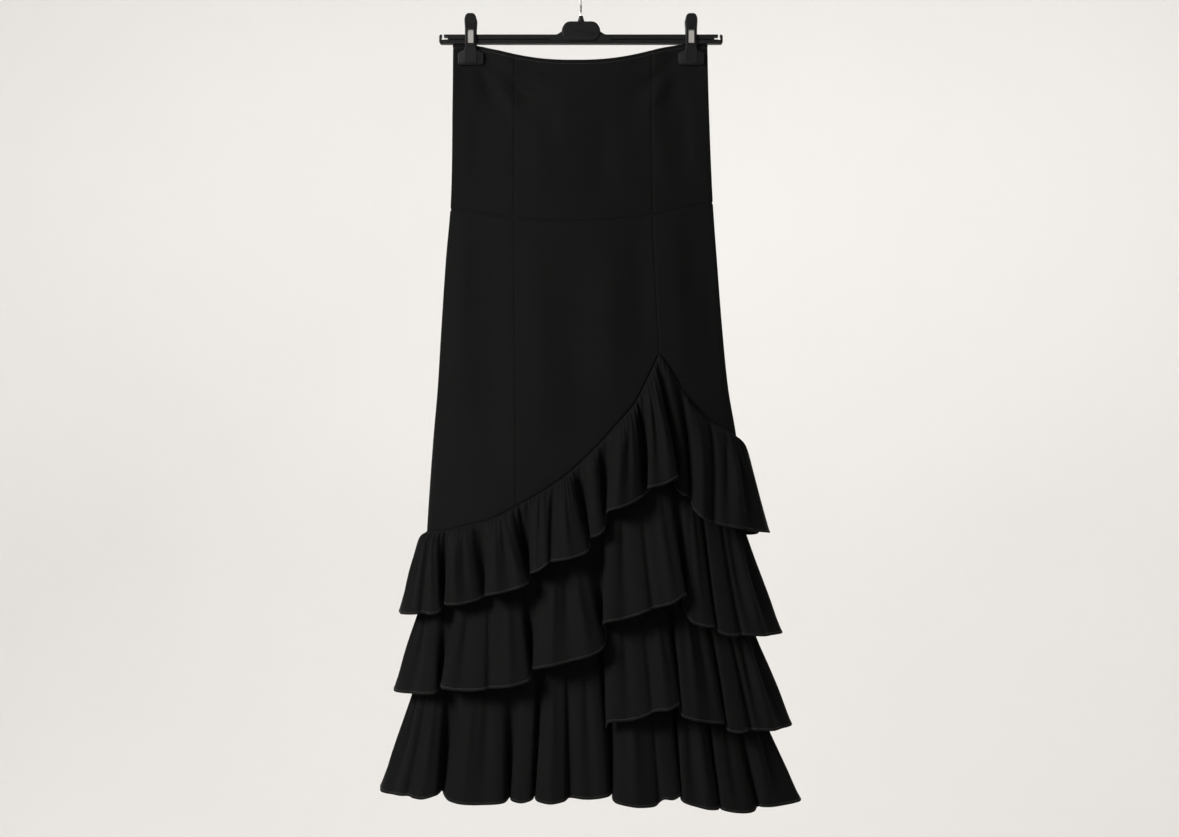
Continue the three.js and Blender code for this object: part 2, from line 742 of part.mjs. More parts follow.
function buildHangerBar() {
  const neckFoot = pad.top - overlap;
  const joined = [
    plate(padOutline(0), pad.depth),
    plate(fairingOutline(), webDepth),
    new THREE.CylinderGeometry(neck.topRadius, neck.bottomRadius, neck.top - neckFoot, neckSides)
      .rotateX(Math.PI / 2)
      .translate(0, 0, (neck.top + neckFoot) / 2),
  ];
  const cuts = [];
  for (const face of [-1, 1]) {
    const barFace = face * bar.depth / 2;
    const padFace = face * pad.depth / 2;
    const grooveY = [barFace - face * groove.depth, barFace + face * overlap].sort((a, b) => a - b);
    for (const end of [-1, 1]) {
      const grooveX = [end * groove.halfLength, end * padHalf.shoulder].sort((a, b) => a - b);
      cuts.push(block(grooveX, grooveY, [groove.bottom, groove.top]));
    }
    cuts.push(plate(padOutline(pad.rim), 2 * pad.recess).translate(0, padFace, 0));
  }
  for (const end of [1, -1]) {
    const mouth = [end * notch.mouthLeft, end * notch.mouthRight].sort((a, b) => a - b);
    const slot = [end * notch.slotLeft, end * notch.slotRight].sort((a, b) => a - b);
    const through = [-bar.depth, bar.depth];
    cuts.push(block(mouth, through, [notchSlot.top - overlap, bar.top + overlap]));
    cuts.push(block(slot, through, [notchSlot.bottom, notchSlot.top]));
  }
  const bore = wire.radius + seamGap;
  const boreTop = neck.top + overlap;
  const boreBottom = wire.stemEnd - seamGap;
  cuts.push(new THREE.CylinderGeometry(bore, bore, boreTop - boreBottom, neckSides)
    .rotateX(Math.PI / 2)
    .translate(0, 0, (boreTop + boreBottom) / 2));
  let solid = toSolid(plate(barOutline(), bar.depth));
  joined.forEach((geometry) => { solid = solid.add(toSolid(geometry)); });
  cuts.forEach((geometry) => { solid = solid.subtract(toSolid(geometry)); });
  return toGeometry(solid);
}

// The hook bends in the plane across the bar: tip at the back, over the top, down the front
// and back under to the stem.
function buildHook() {
  const centreLine = wire.loopRadius + wire.radius;
  const points = [];
  for (let angle = wire.tipAngle; angle <= wire.throatAngle; angle += wire.angleStep) {
    const turn = THREE.MathUtils.degToRad(angle);
    const y = centreLine * Math.cos(turn);
    points.push(new THREE.Vector3(0, y, centreLine * Math.sin(turn) - wire.loopRadius));
  }
  points.push(new THREE.Vector3(0, wire.stemBendY, wire.stemBendZ));
  points.push(new THREE.Vector3(0, 0, wire.stemTop));
  points.push(new THREE.Vector3(0, 0, wire.stemEnd));
  const section = new THREE.Shape();
  for (let k = 0; k < wire.sides; k += 1) {
    const turn = 2 * Math.PI * k / wire.sides;
    const place = [wire.radius * Math.cos(turn), wire.radius * Math.sin(turn)];
    if (k === 0) {
      section.moveTo(...place);
    } else {
      section.lineTo(...place);
    }
  }
  return new THREE.ExtrudeGeometry(section, {
    steps: wire.steps, extrudePath: new THREE.CatmullRomCurve3(points), bevelEnabled: false,
  });
}

// Front jaw of a clip, from its finger tab down to the gripping pad.
const jawSections = table(
  ['z', 'halfWidth', 'outer', 'inner'],
  [
    [-39.2, 5.2, 10.6, 8.6],
    [-41.5, 7.6, 11, 8],
    [-50, 8.1, 9.6, 6.6],
    [-60, 8.6, 8.3, 4.9],
    [-77.6, 8.6, 8.1, 4.9],
    [-80.5, 7.6, 7.4, 3.6],
    [-85, 7.6, 7, 3],
    [-88.5, 12.5, 7.2, 2.8],
    [-91, 16.2, 7, 2.7],
    [-101.8, 16.2, 6.4, 2.7],
    [-103.7, 14.8, 5.4, 2.7],
  ],
);
const spring = { halfWidth: 3.5, thickness: 0.8, top: -57.4, bottom: -76.4, outer: 7.6 };
const jawSlot = { halfWidth: 3.9, top: -56.9, bottom: -76.8, reach: 20 };
const clipBevel = 1.2;

function buildJaw(centreX, side) {
  const rings = jawSections.map((row) => {
    const corners = [
      [-row.halfWidth, row.inner], [row.halfWidth, row.inner],
      [row.halfWidth, row.outer - clipBevel], [row.halfWidth - clipBevel, row.outer],
      [-row.halfWidth + clipBevel, row.outer], [-row.halfWidth, row.outer - clipBevel],
    ];
    return corners.map(([x, y]) => [centreX + x, side * y, row.z]);
  });
  const points = rings.flat(2);
  const count = rings[0].length;
  const triangles = [];
  const face = (a, b, c) => (side > 0 ? triangles.push(a, b, c) : triangles.push(a, c, b));
  for (let i = 0; i < rings.length - 1; i += 1) {
    for (let k = 0; k < count; k += 1) {
      const [a, b] = [i * count + k, i * count + ((k + 1) % count)];
      face(a, a + count, b);
      face(b, a + count, b + count);
    }
  }
  const last = (rings.length - 1) * count;
  for (let k = 1; k < count - 1; k += 1) {
    face(0, k, k + 1);
    face(last, last + k + 1, last + k);
  }
  const geometry = new THREE.BufferGeometry();
  geometry.setAttribute('position', new THREE.Float32BufferAttribute(points, 3));
  geometry.setIndex(triangles);
  const slot = block(
    [centreX - jawSlot.halfWidth, centreX + jawSlot.halfWidth],
    [side > 0 ? 0 : -jawSlot.reach, side > 0 ? jawSlot.reach : 0],
    [jawSlot.bottom, jawSlot.top],
  );
  return toGeometry(toSolid(geometry).subtract(toSolid(slot)));
}

// The steel spring straddles the bar and lies in the slots of both jaws.
function buildSpring(centreX) {
  const { thickness, top, bottom, outer, halfWidth } = spring;
  const inside = outer - thickness;
  const outline = [
    [-outer, bottom], [-outer, top], [outer, top], [outer, bottom],
    [inside, bottom], [inside, top - thickness], [-inside, top - thickness], [-inside, bottom],
  ];
  return plate(outline, 2 * halfWidth).rotateZ(Math.PI / 2).translate(centreX, 0, 0);
}

addPiece('hanger_bar', buildHangerBar(), plasticMaterial);
addPiece('hanger_hook', buildHook(), steelMaterial);
for (const [name, centreX] of [['left', -clipX], ['right', clipX]]) {
  addPiece(`${name}_clip_front_jaw`, buildJaw(centreX, -1), plasticMaterial);
  addPiece(`${name}_clip_back_jaw`, buildJaw(centreX, 1), plasticMaterial);
  addPiece(`${name}_clip_spring`, buildSpring(centreX), steelMaterial);
}

export default skirt;
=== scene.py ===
import math

import bmesh
import bpy
import numpy as np
from mathutils import Matrix, Vector


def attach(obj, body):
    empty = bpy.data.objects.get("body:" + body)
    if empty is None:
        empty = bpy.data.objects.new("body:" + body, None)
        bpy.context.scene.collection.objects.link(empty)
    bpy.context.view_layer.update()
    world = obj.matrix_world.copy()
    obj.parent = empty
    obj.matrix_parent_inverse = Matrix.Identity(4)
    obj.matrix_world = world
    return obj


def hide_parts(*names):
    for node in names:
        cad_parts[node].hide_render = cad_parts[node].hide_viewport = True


# A black flamenco skirt with slanted ruffles, hung by its waist on a clip hanger.
# The frame is in metres. Tables here are in millimetres, and places round the skirt are turns in
# degrees: -90 left side, 0 front middle, 90 right side, 180 back.
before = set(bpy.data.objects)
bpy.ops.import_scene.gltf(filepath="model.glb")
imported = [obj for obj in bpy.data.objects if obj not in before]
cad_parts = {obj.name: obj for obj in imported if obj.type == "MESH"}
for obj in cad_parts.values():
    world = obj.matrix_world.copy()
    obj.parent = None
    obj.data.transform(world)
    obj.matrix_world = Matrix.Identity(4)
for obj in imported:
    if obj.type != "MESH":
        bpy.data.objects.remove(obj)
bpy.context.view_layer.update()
mm = 0.001

# Camera first: level, in front of the skirt, the whole height in view
cameraValues = {"distance": 2.3, "x": 0.0108, "z": -0.5527, "sensor": 36.0, "imageWidth": 1179,
                "metresPerPixel": 0.001272, "farthest": 30}


def addCamera(values):
    data = bpy.data.cameras.new("studioCamera")
    data.sensor_width = values["sensor"]
    seen = values["imageWidth"] * values["metresPerPixel"]
    data.lens = values["sensor"] * values["distance"] / seen
    data.clip_end = values["farthest"]
    camera = bpy.data.objects.new("studioCamera", data)
    camera.location = (values["x"], -values["distance"], values["z"])
    camera.rotation_euler = (math.radians(90), 0, 0)
    bpy.context.collection.objects.link(camera)
    bpy.context.scene.camera = camera


addCamera(cameraValues)
print("camera placed")


def addObject(name, mesh):
    piece = bpy.data.objects.new(name, mesh)
    bpy.context.collection.objects.link(piece)
    return piece


def smoothShade(mesh):
    mesh.polygons.foreach_set("use_smooth", [True] * len(mesh.polygons))


# Materials
def newMaterial(name):
    material = bpy.data.materials.new(name)
    material.use_nodes = True
    tree = material.node_tree
    return material, tree, tree.nodes["Principled BSDF"]


def node(tree, kind, values=None, **settings):
    made = tree.nodes.new(kind)
    for key, value in settings.items():
        setattr(made, key, value)
    for key, value in (values or {}).items():
        made.inputs[key].default_value = value
    return made


def mixColours(tree, factor, first, second):
    mix = node(tree, "ShaderNodeMix", data_type="RGBA")
    mix.inputs["A"].default_value = (*first, 1)
    mix.inputs["B"].default_value = (*second, 1)
    tree.links.new(factor, mix.inputs["Factor"])
    return mix.outputs["Result"]


def paintColour(tree, shader, factor, shades):
    tree.links.new(mixColours(tree, factor, *shades), shader.inputs["Base Color"])


def paintRoughness(tree, shader, factor, limits):
    rough = node(tree, "ShaderNodeMapRange", {"To Min": limits[0], "To Max": limits[1]})
    tree.links.new(factor, rough.inputs["Value"])
    tree.links.new(rough.outputs["Result"], shader.inputs["Roughness"])


def paintBump(tree, shader, height, values):
    bump = node(tree, "ShaderNodeBump", {"Strength": values["bump"], "Distance": values["bumpDistance"]})
    tree.links.new(height, bump.inputs["Height"])
    tree.links.new(bump.outputs["Normal"], shader.inputs["Normal"])


# The weave has about 760 ribs a metre. Shares say how much each layer counts in the shade.
crepe = {
    # hem: the hem band's colour, painted lighter as a painted highlight
    "shades": ((0.0031, 0.0031, 0.0032), (0.0055, 0.0054, 0.0054)), "hem": (0.0064, 0.0063, 0.0062),
    "roughness": (0.76, 0.9), "sheen": 0.01, "sheenRoughness": 0.45, "specular": 0.04,
    "ribScale": 238.8535, "ribWobble": 1.5, "ribDetail": 1.2, "pebbleScale": 900, "cloudScale": 9.0,
    "ribShare": 0.6, "surfaceShare": 0.35, "cloudShare": 0.6, "bump": 0.35, "bumpDistance": 0.00025,
}


def crepeCloth():
    material, tree, shader = newMaterial("blackCrepe")
    links = tree.links
    place = node(tree, "ShaderNodeTexCoord")
    # fine woven ribs follow the cloth's own map, one unit a metre
    ribs = [
        node(tree, "ShaderNodeTexWave", {"Scale": crepe["ribScale"], "Distortion": crepe["ribWobble"],
                                         "Detail": 1.0, "Detail Scale": crepe["ribDetail"]},
             wave_type="BANDS", bands_direction=direction)
        for direction in ("X", "Y")
    ]
    weave = node(tree, "ShaderNodeMath", operation="MULTIPLY")
    for k, rib in enumerate(ribs):
        links.new(place.outputs["UV"], rib.inputs["Vector"])
        links.new(rib.outputs["Fac"], weave.inputs[k])
    # crepe pebble and slow shade changes over the garment
    pebble = node(tree, "ShaderNodeTexNoise", {"Scale": crepe["pebbleScale"], "Detail": 2.0})
    slow = node(tree, "ShaderNodeTexNoise", {"Scale": crepe["cloudScale"], "Detail": 3.0, "Roughness": 0.55})
    for texture in (pebble, slow):
        links.new(place.outputs["Object"], texture.inputs["Vector"])
    surface = node(tree, "ShaderNodeMath", {1: crepe["ribShare"]}, operation="MULTIPLY_ADD")
    links.new(weave.outputs[0], surface.inputs[0])
    links.new(pebble.outputs["Fac"], surface.inputs[2])
    tone = node(tree, "ShaderNodeMath", {1: crepe["surfaceShare"]}, operation="MULTIPLY_ADD")
    links.new(surface.outputs[0], tone.inputs[0])
    cloud = node(tree, "ShaderNodeMath", {1: crepe["cloudShare"]}, operation="MULTIPLY")
    links.new(slow.outputs["Fac"], cloud.inputs[0])
    links.new(cloud.outputs[0], tone.inputs[2])
    woven = mixColours(tree, tone.outputs[0], *crepe["shades"])
    # painted highlight: the narrow rolled hem is coloured lighter so that it reads as catching a little more
    # light
    band = node(tree, "ShaderNodeAttribute", attribute_name="hemBand")
    hem = node(tree, "ShaderNodeMix", {"B": (*crepe["hem"], 1)}, data_type="RGBA")
    links.new(band.outputs["Fac"], hem.inputs["Factor"])
    links.new(woven, hem.inputs["A"])
    links.new(hem.outputs["Result"], shader.inputs["Base Color"])
    paintRoughness(tree, shader, pebble.outputs["Fac"], crepe["roughness"])
    paintBump(tree, shader, surface.outputs[0], crepe)
    shader.inputs["Specular IOR Level"].default_value = crepe["specular"]
    shader.inputs["Sheen Weight"].default_value = crepe["sheen"]
    shader.inputs["Sheen Roughness"].default_value = crepe["sheenRoughness"]
    return material


thread = {"shades": ((0.008, 0.008, 0.009), (0.022, 0.022, 0.023)), "plyScale": 900.0, "plyWobble": 0.6,
          "roughness": 0.5, "sheen": 0.2}


def threadMaterial():
    material, tree, shader = newMaterial("blackThread")
    place = node(tree, "ShaderNodeTexCoord")
    ply = node(tree, "ShaderNodeTexWave", {"Scale": thread["plyScale"], "Distortion": thread["plyWobble"]},
               wave_type="BANDS", bands_direction="DIAGONAL")
    tree.links.new(place.outputs["Object"], ply.inputs["Vector"])
    paintColour(tree, shader, ply.outputs["Fac"], thread["shades"])
    shader.inputs["Roughness"].default_value = thread["roughness"]
    shader.inputs["Sheen Weight"].default_value = thread["sheen"]
    return material


plastic = {"shades": ((0.0045, 0.0045, 0.0049), (0.0075, 0.0075, 0.008)), "roughness": (0.4, 0.52),
           "grainScale": 700.0, "wearScale": 60.0, "bump": 0.15, "bumpDistance": 0.0002, "specular": 0.12}


def plasticMaterial():
    material, tree, shader = newMaterial("blackPlastic")
    place = node(tree, "ShaderNodeTexCoord")
    grain = node(tree, "ShaderNodeTexNoise", {"Scale": plastic["grainScale"], "Detail": 2.0})
    wear = node(tree, "ShaderNodeTexNoise", {"Scale": plastic["wearScale"], "Detail": 4.0, "Roughness": 0.6})
    for texture in (grain, wear):
        tree.links.new(place.outputs["Object"], texture.inputs["Vector"])
    paintColour(tree, shader, wear.outputs["Fac"], plastic["shades"])
    paintRoughness(tree, shader, wear.outputs["Fac"], plastic["roughness"])
    paintBump(tree, shader, grain.outputs["Fac"], plastic)
    shader.inputs["Specular IOR Level"].default_value = plastic["specular"]
    return material


steel = {"shades": ((0.74, 0.73, 0.71), (0.86, 0.85, 0.83)), "roughness": (0.16, 0.34),
         "drawnScale": (2500.0, 2500.0, 60.0)}


def steelMaterial():
    material, tree, shader = newMaterial("brightSteel")
    place = node(tree, "ShaderNodeTexCoord")
    stretch = node(tree, "ShaderNodeMapping", {"Scale": steel["drawnScale"]})
    tree.links.new(place.outputs["Object"], stretch.inputs["Vector"])
    drawn = node(tree, "ShaderNodeTexNoise", {"Scale": 1.0, "Detail": 3.0})
    tree.links.new(stretch.outputs["Vector"], drawn.inputs["Vector"])
    paintColour(tree, shader, drawn.outputs["Fac"], steel["shades"])
    paintRoughness(tree, shader, drawn.outputs["Fac"], steel["roughness"])
    shader.inputs["Metallic"].default_value = 1.0
    return material


clothLook = crepeCloth()
threadLook = threadMaterial()
plasticLook = plasticMaterial()
steelLook = steelMaterial()
print("materials made")


# Tables and smooth lines through them
def smoothLine(rows):
    places = np.array([row[0] for row in rows], float)
    values = np.array([row[1] for row in rows], float)
    if places[0] > places[-1]:
        places, values = places[::-1], values[::-1]
    secants = np.diff(values) / np.diff(places)
    slopes = np.concatenate([secants[:1], (secants[1:] + secants[:-1]) / 2, secants[-1:]])

    def valueAt(place):
        place = np.asarray(place, float)
        k = np.clip(np.searchsorted(places, place) - 1, 0, len(places) - 2)
        span = places[k + 1] - places[k]
        t = np.clip((place - places[k]) / span, 0, 1)
        blend = t * t * (3 - 2 * t)
        return (values[k] * (1 - blend) + values[k + 1] * blend
                + span * t * (1 - t) * (slopes[k] * (1 - t) - slopes[k + 1] * t))

    return valueAt


def mix(first, second, share):
    return first + (second - first) * share


# The plain tube under the ruffles: height, half width, half depth, shift to the right, and how
# its section runs from a flat lens (2) to an ellipse (1).
tubeSections = [
    (-77, 161.7, 10, -1, 2), (-150, 163, 15, -0.5, 2), (-280, 166.8, 24, 1, 1.9),
    (-350, 172.3, 28, 0.5, 1.8), (-440, 178.8, 34, 1, 1.6), (-516, 185, 38, 2.5, 1.4),
    (-580, 193, 42, 5, 1.25), (-697, 200, 47, 4, 1.05), (-797, 206, 51, 5, 1),
    (-870, 212, 53, 7, 1), (-1040, 218, 58, 9, 1),
]
halfWidthAt, halfDepthAt, shiftAt, lensAt = (
    smoothLine([(row[0], row[k]) for row in tubeSections]) for k in (1, 2, 3, 4))

# Soft troughs in the hanging cloth: from x, z to x, z, width, depth. The back has them too.
troughs = [
    (-118, -100, -92, -190, 16, 2.4), (-84, -104, -40, -202, 18, 2.6),
    (79, -100, 54, -212, 18, 2.6), (113, -104, 94, -215, 16, 2.2),
    (-72, -108, 52, -110, 12, 1.8), (-129, -300, -124, -640, 16, 3.2),
    (137, -296, 141, -440, 16, 2.8),
]

# Lines round the skirt: turn, height.
yokeSeamLine = smoothLine([(-90, -287), (-53, -291), (-31, -300), (0, -304), (34, -295),
                           (61, -282), (90, -278.5)])
climbLine = smoothLine([(-90, -697), (-62, -694), (-46, -686), (-34, -676), (-22, -656), (-8, -626),
                        (4, -588), (12, -560), (20, -533), (27, -498), (32.5, -469)])
fallLine = smoothLine([(32.5, -469), (38, -493), (46, -529), (54, -551), (67, -565), (90, -580),
                       (135, -601), (180, -638), (225, -676), (270, -697)])
ruffle2Line = smoothLine([(-90, -763), (-50, -757), (-33, -741), (-17, -718), (0, -684), (8, -645),
                          (14, -631), (22, -617), (33, -594), (40, -607), (50, -640), (70, -658),
                          (90, -665), (180, -714), (270, -763)])
ruffle3Line = smoothLine([(8, -768), (20, -752), (34, -738), (42, -765), (60, -785), (90, -790),
                          (140, -806), (200, -832)])
underskirtLine = smoothLine([(-90, -866), (-40, -858), (-15, -835), (5, -812), (14, -830), (30, -868),
                             (60, -893), (90, -900), (180, -890), (270, -866)])
leftPrincess = smoothLine([(-77, -84), (-300, -84.5), (-450, -82.5), (-690, -81)])
rightPrincess = smoothLine([(-77, 90), (-300, 91), (-400, 95), (-469, 98.7), (-700, 106)])

clothRules = {"wall": 0.8, "rimReach": 0.42, "sideMeet": -0.04, "cadWall": 1.6, "seamGap": 0.3,
              "sideFold": 2.2, "waistZ": -77.5, "waistSag": 21.5, "waistMiddle": -6, "waistHalf": 145,
              "waistCurve": 2.5, "peakTurn": 32.5, "clipX": 140, "pinchHalf": 32, "pinchTop": -110,
              "pinchEnd": -230, "pinchPower": 6, "troughStart": 0.15}


def smoothStep(value, low, high):
    t = np.clip((value - low) / (high - low), 0, 1)
    return t * t * (3 - 2 * t)


def besideRun(x, z, run, width):
    # how far along a straight run a place lies, from 0 to 1, and how many widths aside
    fromX, fromZ, toX, toZ = run
    runX, runZ = toX - fromX, toZ - fromZ
    along = np.clip(((x - fromX) * runX + (z - fromZ) * runZ) / (runX ** 2 + runZ ** 2), 0, 1)
    return along, np.hypot(x - fromX - runX * along, z - fromZ - runZ * along) / width


def troughDepth(x, z):
    press = np.zeros(np.broadcast(x, z).shape)
    start = clothRules["troughStart"]
    for *run, width, depth in troughs:
        along, aside = besideRun(x, z, run, width)
        press += depth * np.sin(np.pi * (start + (1 - start) * along)) * np.exp(-aside ** 2)
    return press


def tubePoint(turn, z, outward=0.0):
    angle = np.radians(turn)
    halfWidth = halfWidthAt(z) + outward
    radius = np.maximum(clothRules["sideFold"] + outward, clothRules["seamGap"])
    x = halfWidth * np.sin(angle)
    intoFold = np.clip((np.abs(x) - halfWidth + radius) / radius, 0, 1)
    facing = np.abs(np.cos(angle))
    fromClip = (np.abs(x) - clothRules["clipX"]) / clothRules["pinchHalf"]
    pinch = np.exp(-fromClip ** clothRules["pinchPower"])
    pinch = pinch * smoothStep(z, clothRules["pinchEnd"], clothRules["pinchTop"])
    bulge = (halfDepthAt(z) + outward - radius) * facing ** lensAt(z) * (1 - pinch)
    depth = radius * np.sqrt(1 - intoFold ** 2) + bulge - troughDepth(x, z) * facing ** 0.5
    side = np.where(np.cos(angle) > 0, -1.0, 1.0)
    y = side * (np.maximum(depth, 0) + clothRules["seamGap"] / 2)
    return np.stack(np.broadcast_arrays(x + shiftAt(z), y, z * 1.0), axis=-1)


def waistLine(turn):
    x = halfWidthAt(clothRules["waistZ"]) * np.sin(np.radians(turn))
    across = np.minimum(np.abs((x - clothRules["waistMiddle"]) / clothRules["waistHalf"]), 1)
    return clothRules["waistZ"] - clothRules["waistSag"] * (1 - across ** clothRules["waistCurve"]) ** 2


def yokeLine(turn):
    return yokeSeamLine(np.where(turn > 90, 180 - turn, turn))


def ruffle1Line(turn):
    return np.where(turn < clothRules["peakTurn"], climbLine(turn), fallLine(turn))


def outwardAt(turn, z):
    angle = np.radians(turn)
    across = halfDepthAt(z) * np.sin(angle)
    along = -halfWidthAt(z) * np.cos(angle)
    length = np.hypot(across, along)
    return np.stack([across / length, along / length, np.zeros_like(length)], axis=-1)


# Cloth shells
def places(lengths, step, near, far):
    # shares of each length: some millimetres from the start, even steps, some from the end
    lengths = np.atleast_1d(np.asarray(lengths, float))
    start = np.array(near)[:, None] / lengths
    end = 1 - np.array(far)[:, None] / lengths
    count = max(int(round(lengths.max() / step)), 2)
    between = np.linspace(0, 1, count + 1)[1:-1, None]
    return np.vstack([start, start[-1] + (end[0] - start[-1]) * between, end])


def gridNormals(grid):
    normal = np.cross(np.gradient(grid, axis=0), np.gradient(grid, axis=1))
    return normal / np.maximum(np.linalg.norm(normal, axis=2, keepdims=True), 1e-9)


def runLengths(grid, axis):
    steps = np.linalg.norm(np.diff(grid, axis=axis), axis=2)
    zero = np.zeros_like(np.take(steps, [0], axis=axis))
    return np.cumsum(np.concatenate([zero, steps], axis=axis), axis=axis)


def unit(vectors):
    return vectors / np.maximum(np.linalg.norm(vectors, axis=-1, keepdims=True), 1e-9)


def closedShell(middle, thickness):
    # outer and inner faces of a sheet with a rounded rim; rows run down, columns to the right
    rows, columns = middle.shape[:2]
    normal = gridNormals(middle)
    outer = middle + normal * thickness[..., None] / 2
    inner = middle - normal * thickness[..., None] / 2
    at = np.arange(rows * columns).reshape(rows, columns)
    a, b, c, d = at[:-1, :-1], at[1:, :-1], at[1:, 1:], at[:-1, 1:]
    face = np.stack([a, b, c, d], axis=-1).reshape(-1, 4)
    under = rows * columns
    loop = np.concatenate([at[:, 0], at[-1, 1:], at[-2::-1, -1], at[0, -2:0:-1]])
    away = np.zeros_like(middle)
    away[:, 0] += unit(middle[:, 0] - middle[:, 1])
    away[:, -1] += unit(middle[:, -1] - middle[:, -2])
    away[0] += unit(middle[0] - middle[1])
    away[-1] += unit(middle[-1] - middle[-2])
    rimOut = unit(away.reshape(-1, 3)[loop]) * thickness.reshape(-1)[loop, None] * clothRules["rimReach"]
    rim = middle.reshape(-1, 3)[loop] + rimOut
    p, q = loop, np.roll(loop, -1)
    rimP = 2 * under + np.arange(len(loop))
    rimQ = np.roll(rimP, -1)
    faces = np.concatenate([
        face, under + face[:, ::-1],
        np.stack([q, p, rimP, rimQ], axis=1), np.stack([rimQ, rimP, under + p, under + q], axis=1),
    ])
    points = np.concatenate([outer.reshape(-1, 3), inner.reshape(-1, 3), rim])
    return points, faces, loop


def addSheet(name, middle, thickness, band):
    points, faces, loop = closedShell(middle, thickness)
    mesh = bpy.data.meshes.new(name + "_cloth")
    mesh.from_pydata((points * mm).tolist(), [], faces.tolist())
    mesh.materials.append(clothLook)
    smoothShade(mesh)
    # its own map in metres, from the middle of the sheet and down from its top
    across, down = runLengths(middle, 1) * mm, runLengths(middle, 0) * mm
    across = across - across[:, across.shape[1] // 2, None]
    flat = np.stack([across, -down], axis=-1).reshape(-1, 2)
    whole = np.concatenate([flat, flat, flat[loop]])
    corners = np.empty(len(mesh.loops), int)
    mesh.loops.foreach_get("vertex_index", corners)
    mesh.uv_layers.new(name="clothMap").data.foreach_set("uv", whole[corners].ravel())
    # the hem band marks where the cloth's colour is painted lighter, a painted highlight
    paintedHighlightBand = np.concatenate([band.ravel(), band.ravel(), band.ravel()[loop]])
    mesh.attributes.new("hemBand", "FLOAT", "POINT").data.foreach_set("value", paintedHighlightBand)
    return addObject(name + "_cloth", mesh)


def bump(distance, width):
    return np.exp(-(distance / width) ** 2)


# Panels of yoke and body
panelLook = {"step": 4.5, "startZ": -300.0, "settleRounds": 5, "underLap": 3, "rollDepth": 0.7,
             "rollWidth": 1.6, "crossRoll": 1.5, "princessRoll": 0.8,
             "waistStitch": 4.2, "waistGroove": 0.3, "grooveWidth": 0.5,
             "facing": 1.5, "facingFull": 2.5, "facingEnd": 4, "foldDepth": 2.2, "foldStart": 0.1,
             "foldEnds": 0.8, "foldFacing": 0.3, "seamPucker": 0.3, "puckerPitch": 9.0,
             "puckerPlace": 3.5, "puckerWidth": 3.0, "puckerSway": 1.7, "swayRun": 23}
# How far the rows of points at a side fold, a sewn edge and the waist lie from it.
sideRows = (0, 0.6, 1.6, 3)
seamRows = (0, 0.35, 0.8, 1.5, 2.5, 4)
waistRows = (0, 0.4, 1, 2, 3.2, 3.8, 4.2, 4.6, 5.2, 6.4, 8)


def seamTurn(line, sign):
    def turnAt(z):
        x = line(z) + sign * clothRules["seamGap"] / 2 - shiftAt(z)
        return np.degrees(np.arcsin(x / halfWidthAt(z)))
    return turnAt


def level(turn):
    return lambda z: np.full(np.shape(z), float(turn))


def panelGrid(panel, outward):
    left, right, top, bottom = panel["left"], panel["right"], panel["top"], panel["bottom"]
    step = panel.get("step", panelLook["step"])
    share = places(panel["width"], step, panel["nearSide"], panel["farSide"])[:, 0][None, :]
    z = np.full_like(share, panelLook["startZ"])
    turn = mix(left(z), right(z), share)
    down = places((top(turn) - bottom(turn))[0], step, panel["nearTop"], seamRows[::-1])
    for _ in range(panelLook["settleRounds"]):
        z = mix(top(turn), bottom(turn), down)
        turn = mix(left(z), right(z), share)
    z = mix(top(turn), bottom(turn), down)
    return tubePoint(turn, z, outward), turn


def addPanel(name, panel):
    grid, turn = panelGrid(panel, panel.get("outward", 0.0))
    across, down = runLengths(grid, 1), runLengths(grid, 0)
    fromEdge = {"left": across, "right": across[:, -1:] - across, "top": down, "bottom": down[-1:] - down}
    roll = np.zeros_like(down)
    for edge in panel["rolled"]:
        distance = fromEdge[edge]
        upright = edge in ("left", "right")
        share = panelLook["princessRoll" if upright else "crossRoll"]
        roll = np.maximum(roll, share * bump(distance, panelLook["rollWidth"]))
        along = down if upright else across
        sway = panelLook["puckerSway"] * np.sin(along / panelLook["swayRun"])
        pucker = np.sin(2 * np.pi * along / panelLook["puckerPitch"] + sway)
        nearSeam = bump(distance - panelLook["puckerPlace"], panelLook["puckerWidth"])
        roll = roll + panelLook["seamPucker"] * pucker * nearSeam
    push = -panelLook["rollDepth"] * roll
    thickness = np.full_like(down, clothRules["wall"])
    if panel["nearTop"] is waistRows:
        fromStitch = down - panelLook["waistStitch"]
        push -= panelLook["waistGroove"] * bump(fromStitch, panelLook["grooveWidth"])
        faced = 1 - smoothStep(down, panelLook["facingFull"], panelLook["facingEnd"])
        thickness += (panelLook["facing"] - clothRules["wall"]) * faced
    push += softFolds(panel.get("folds", ()), grid, turn)
    middle = grid + gridNormals(grid) * (push - clothRules["wall"] / 2)[..., None]
    return addSheet(name, middle, thickness, np.zeros_like(down)), middle


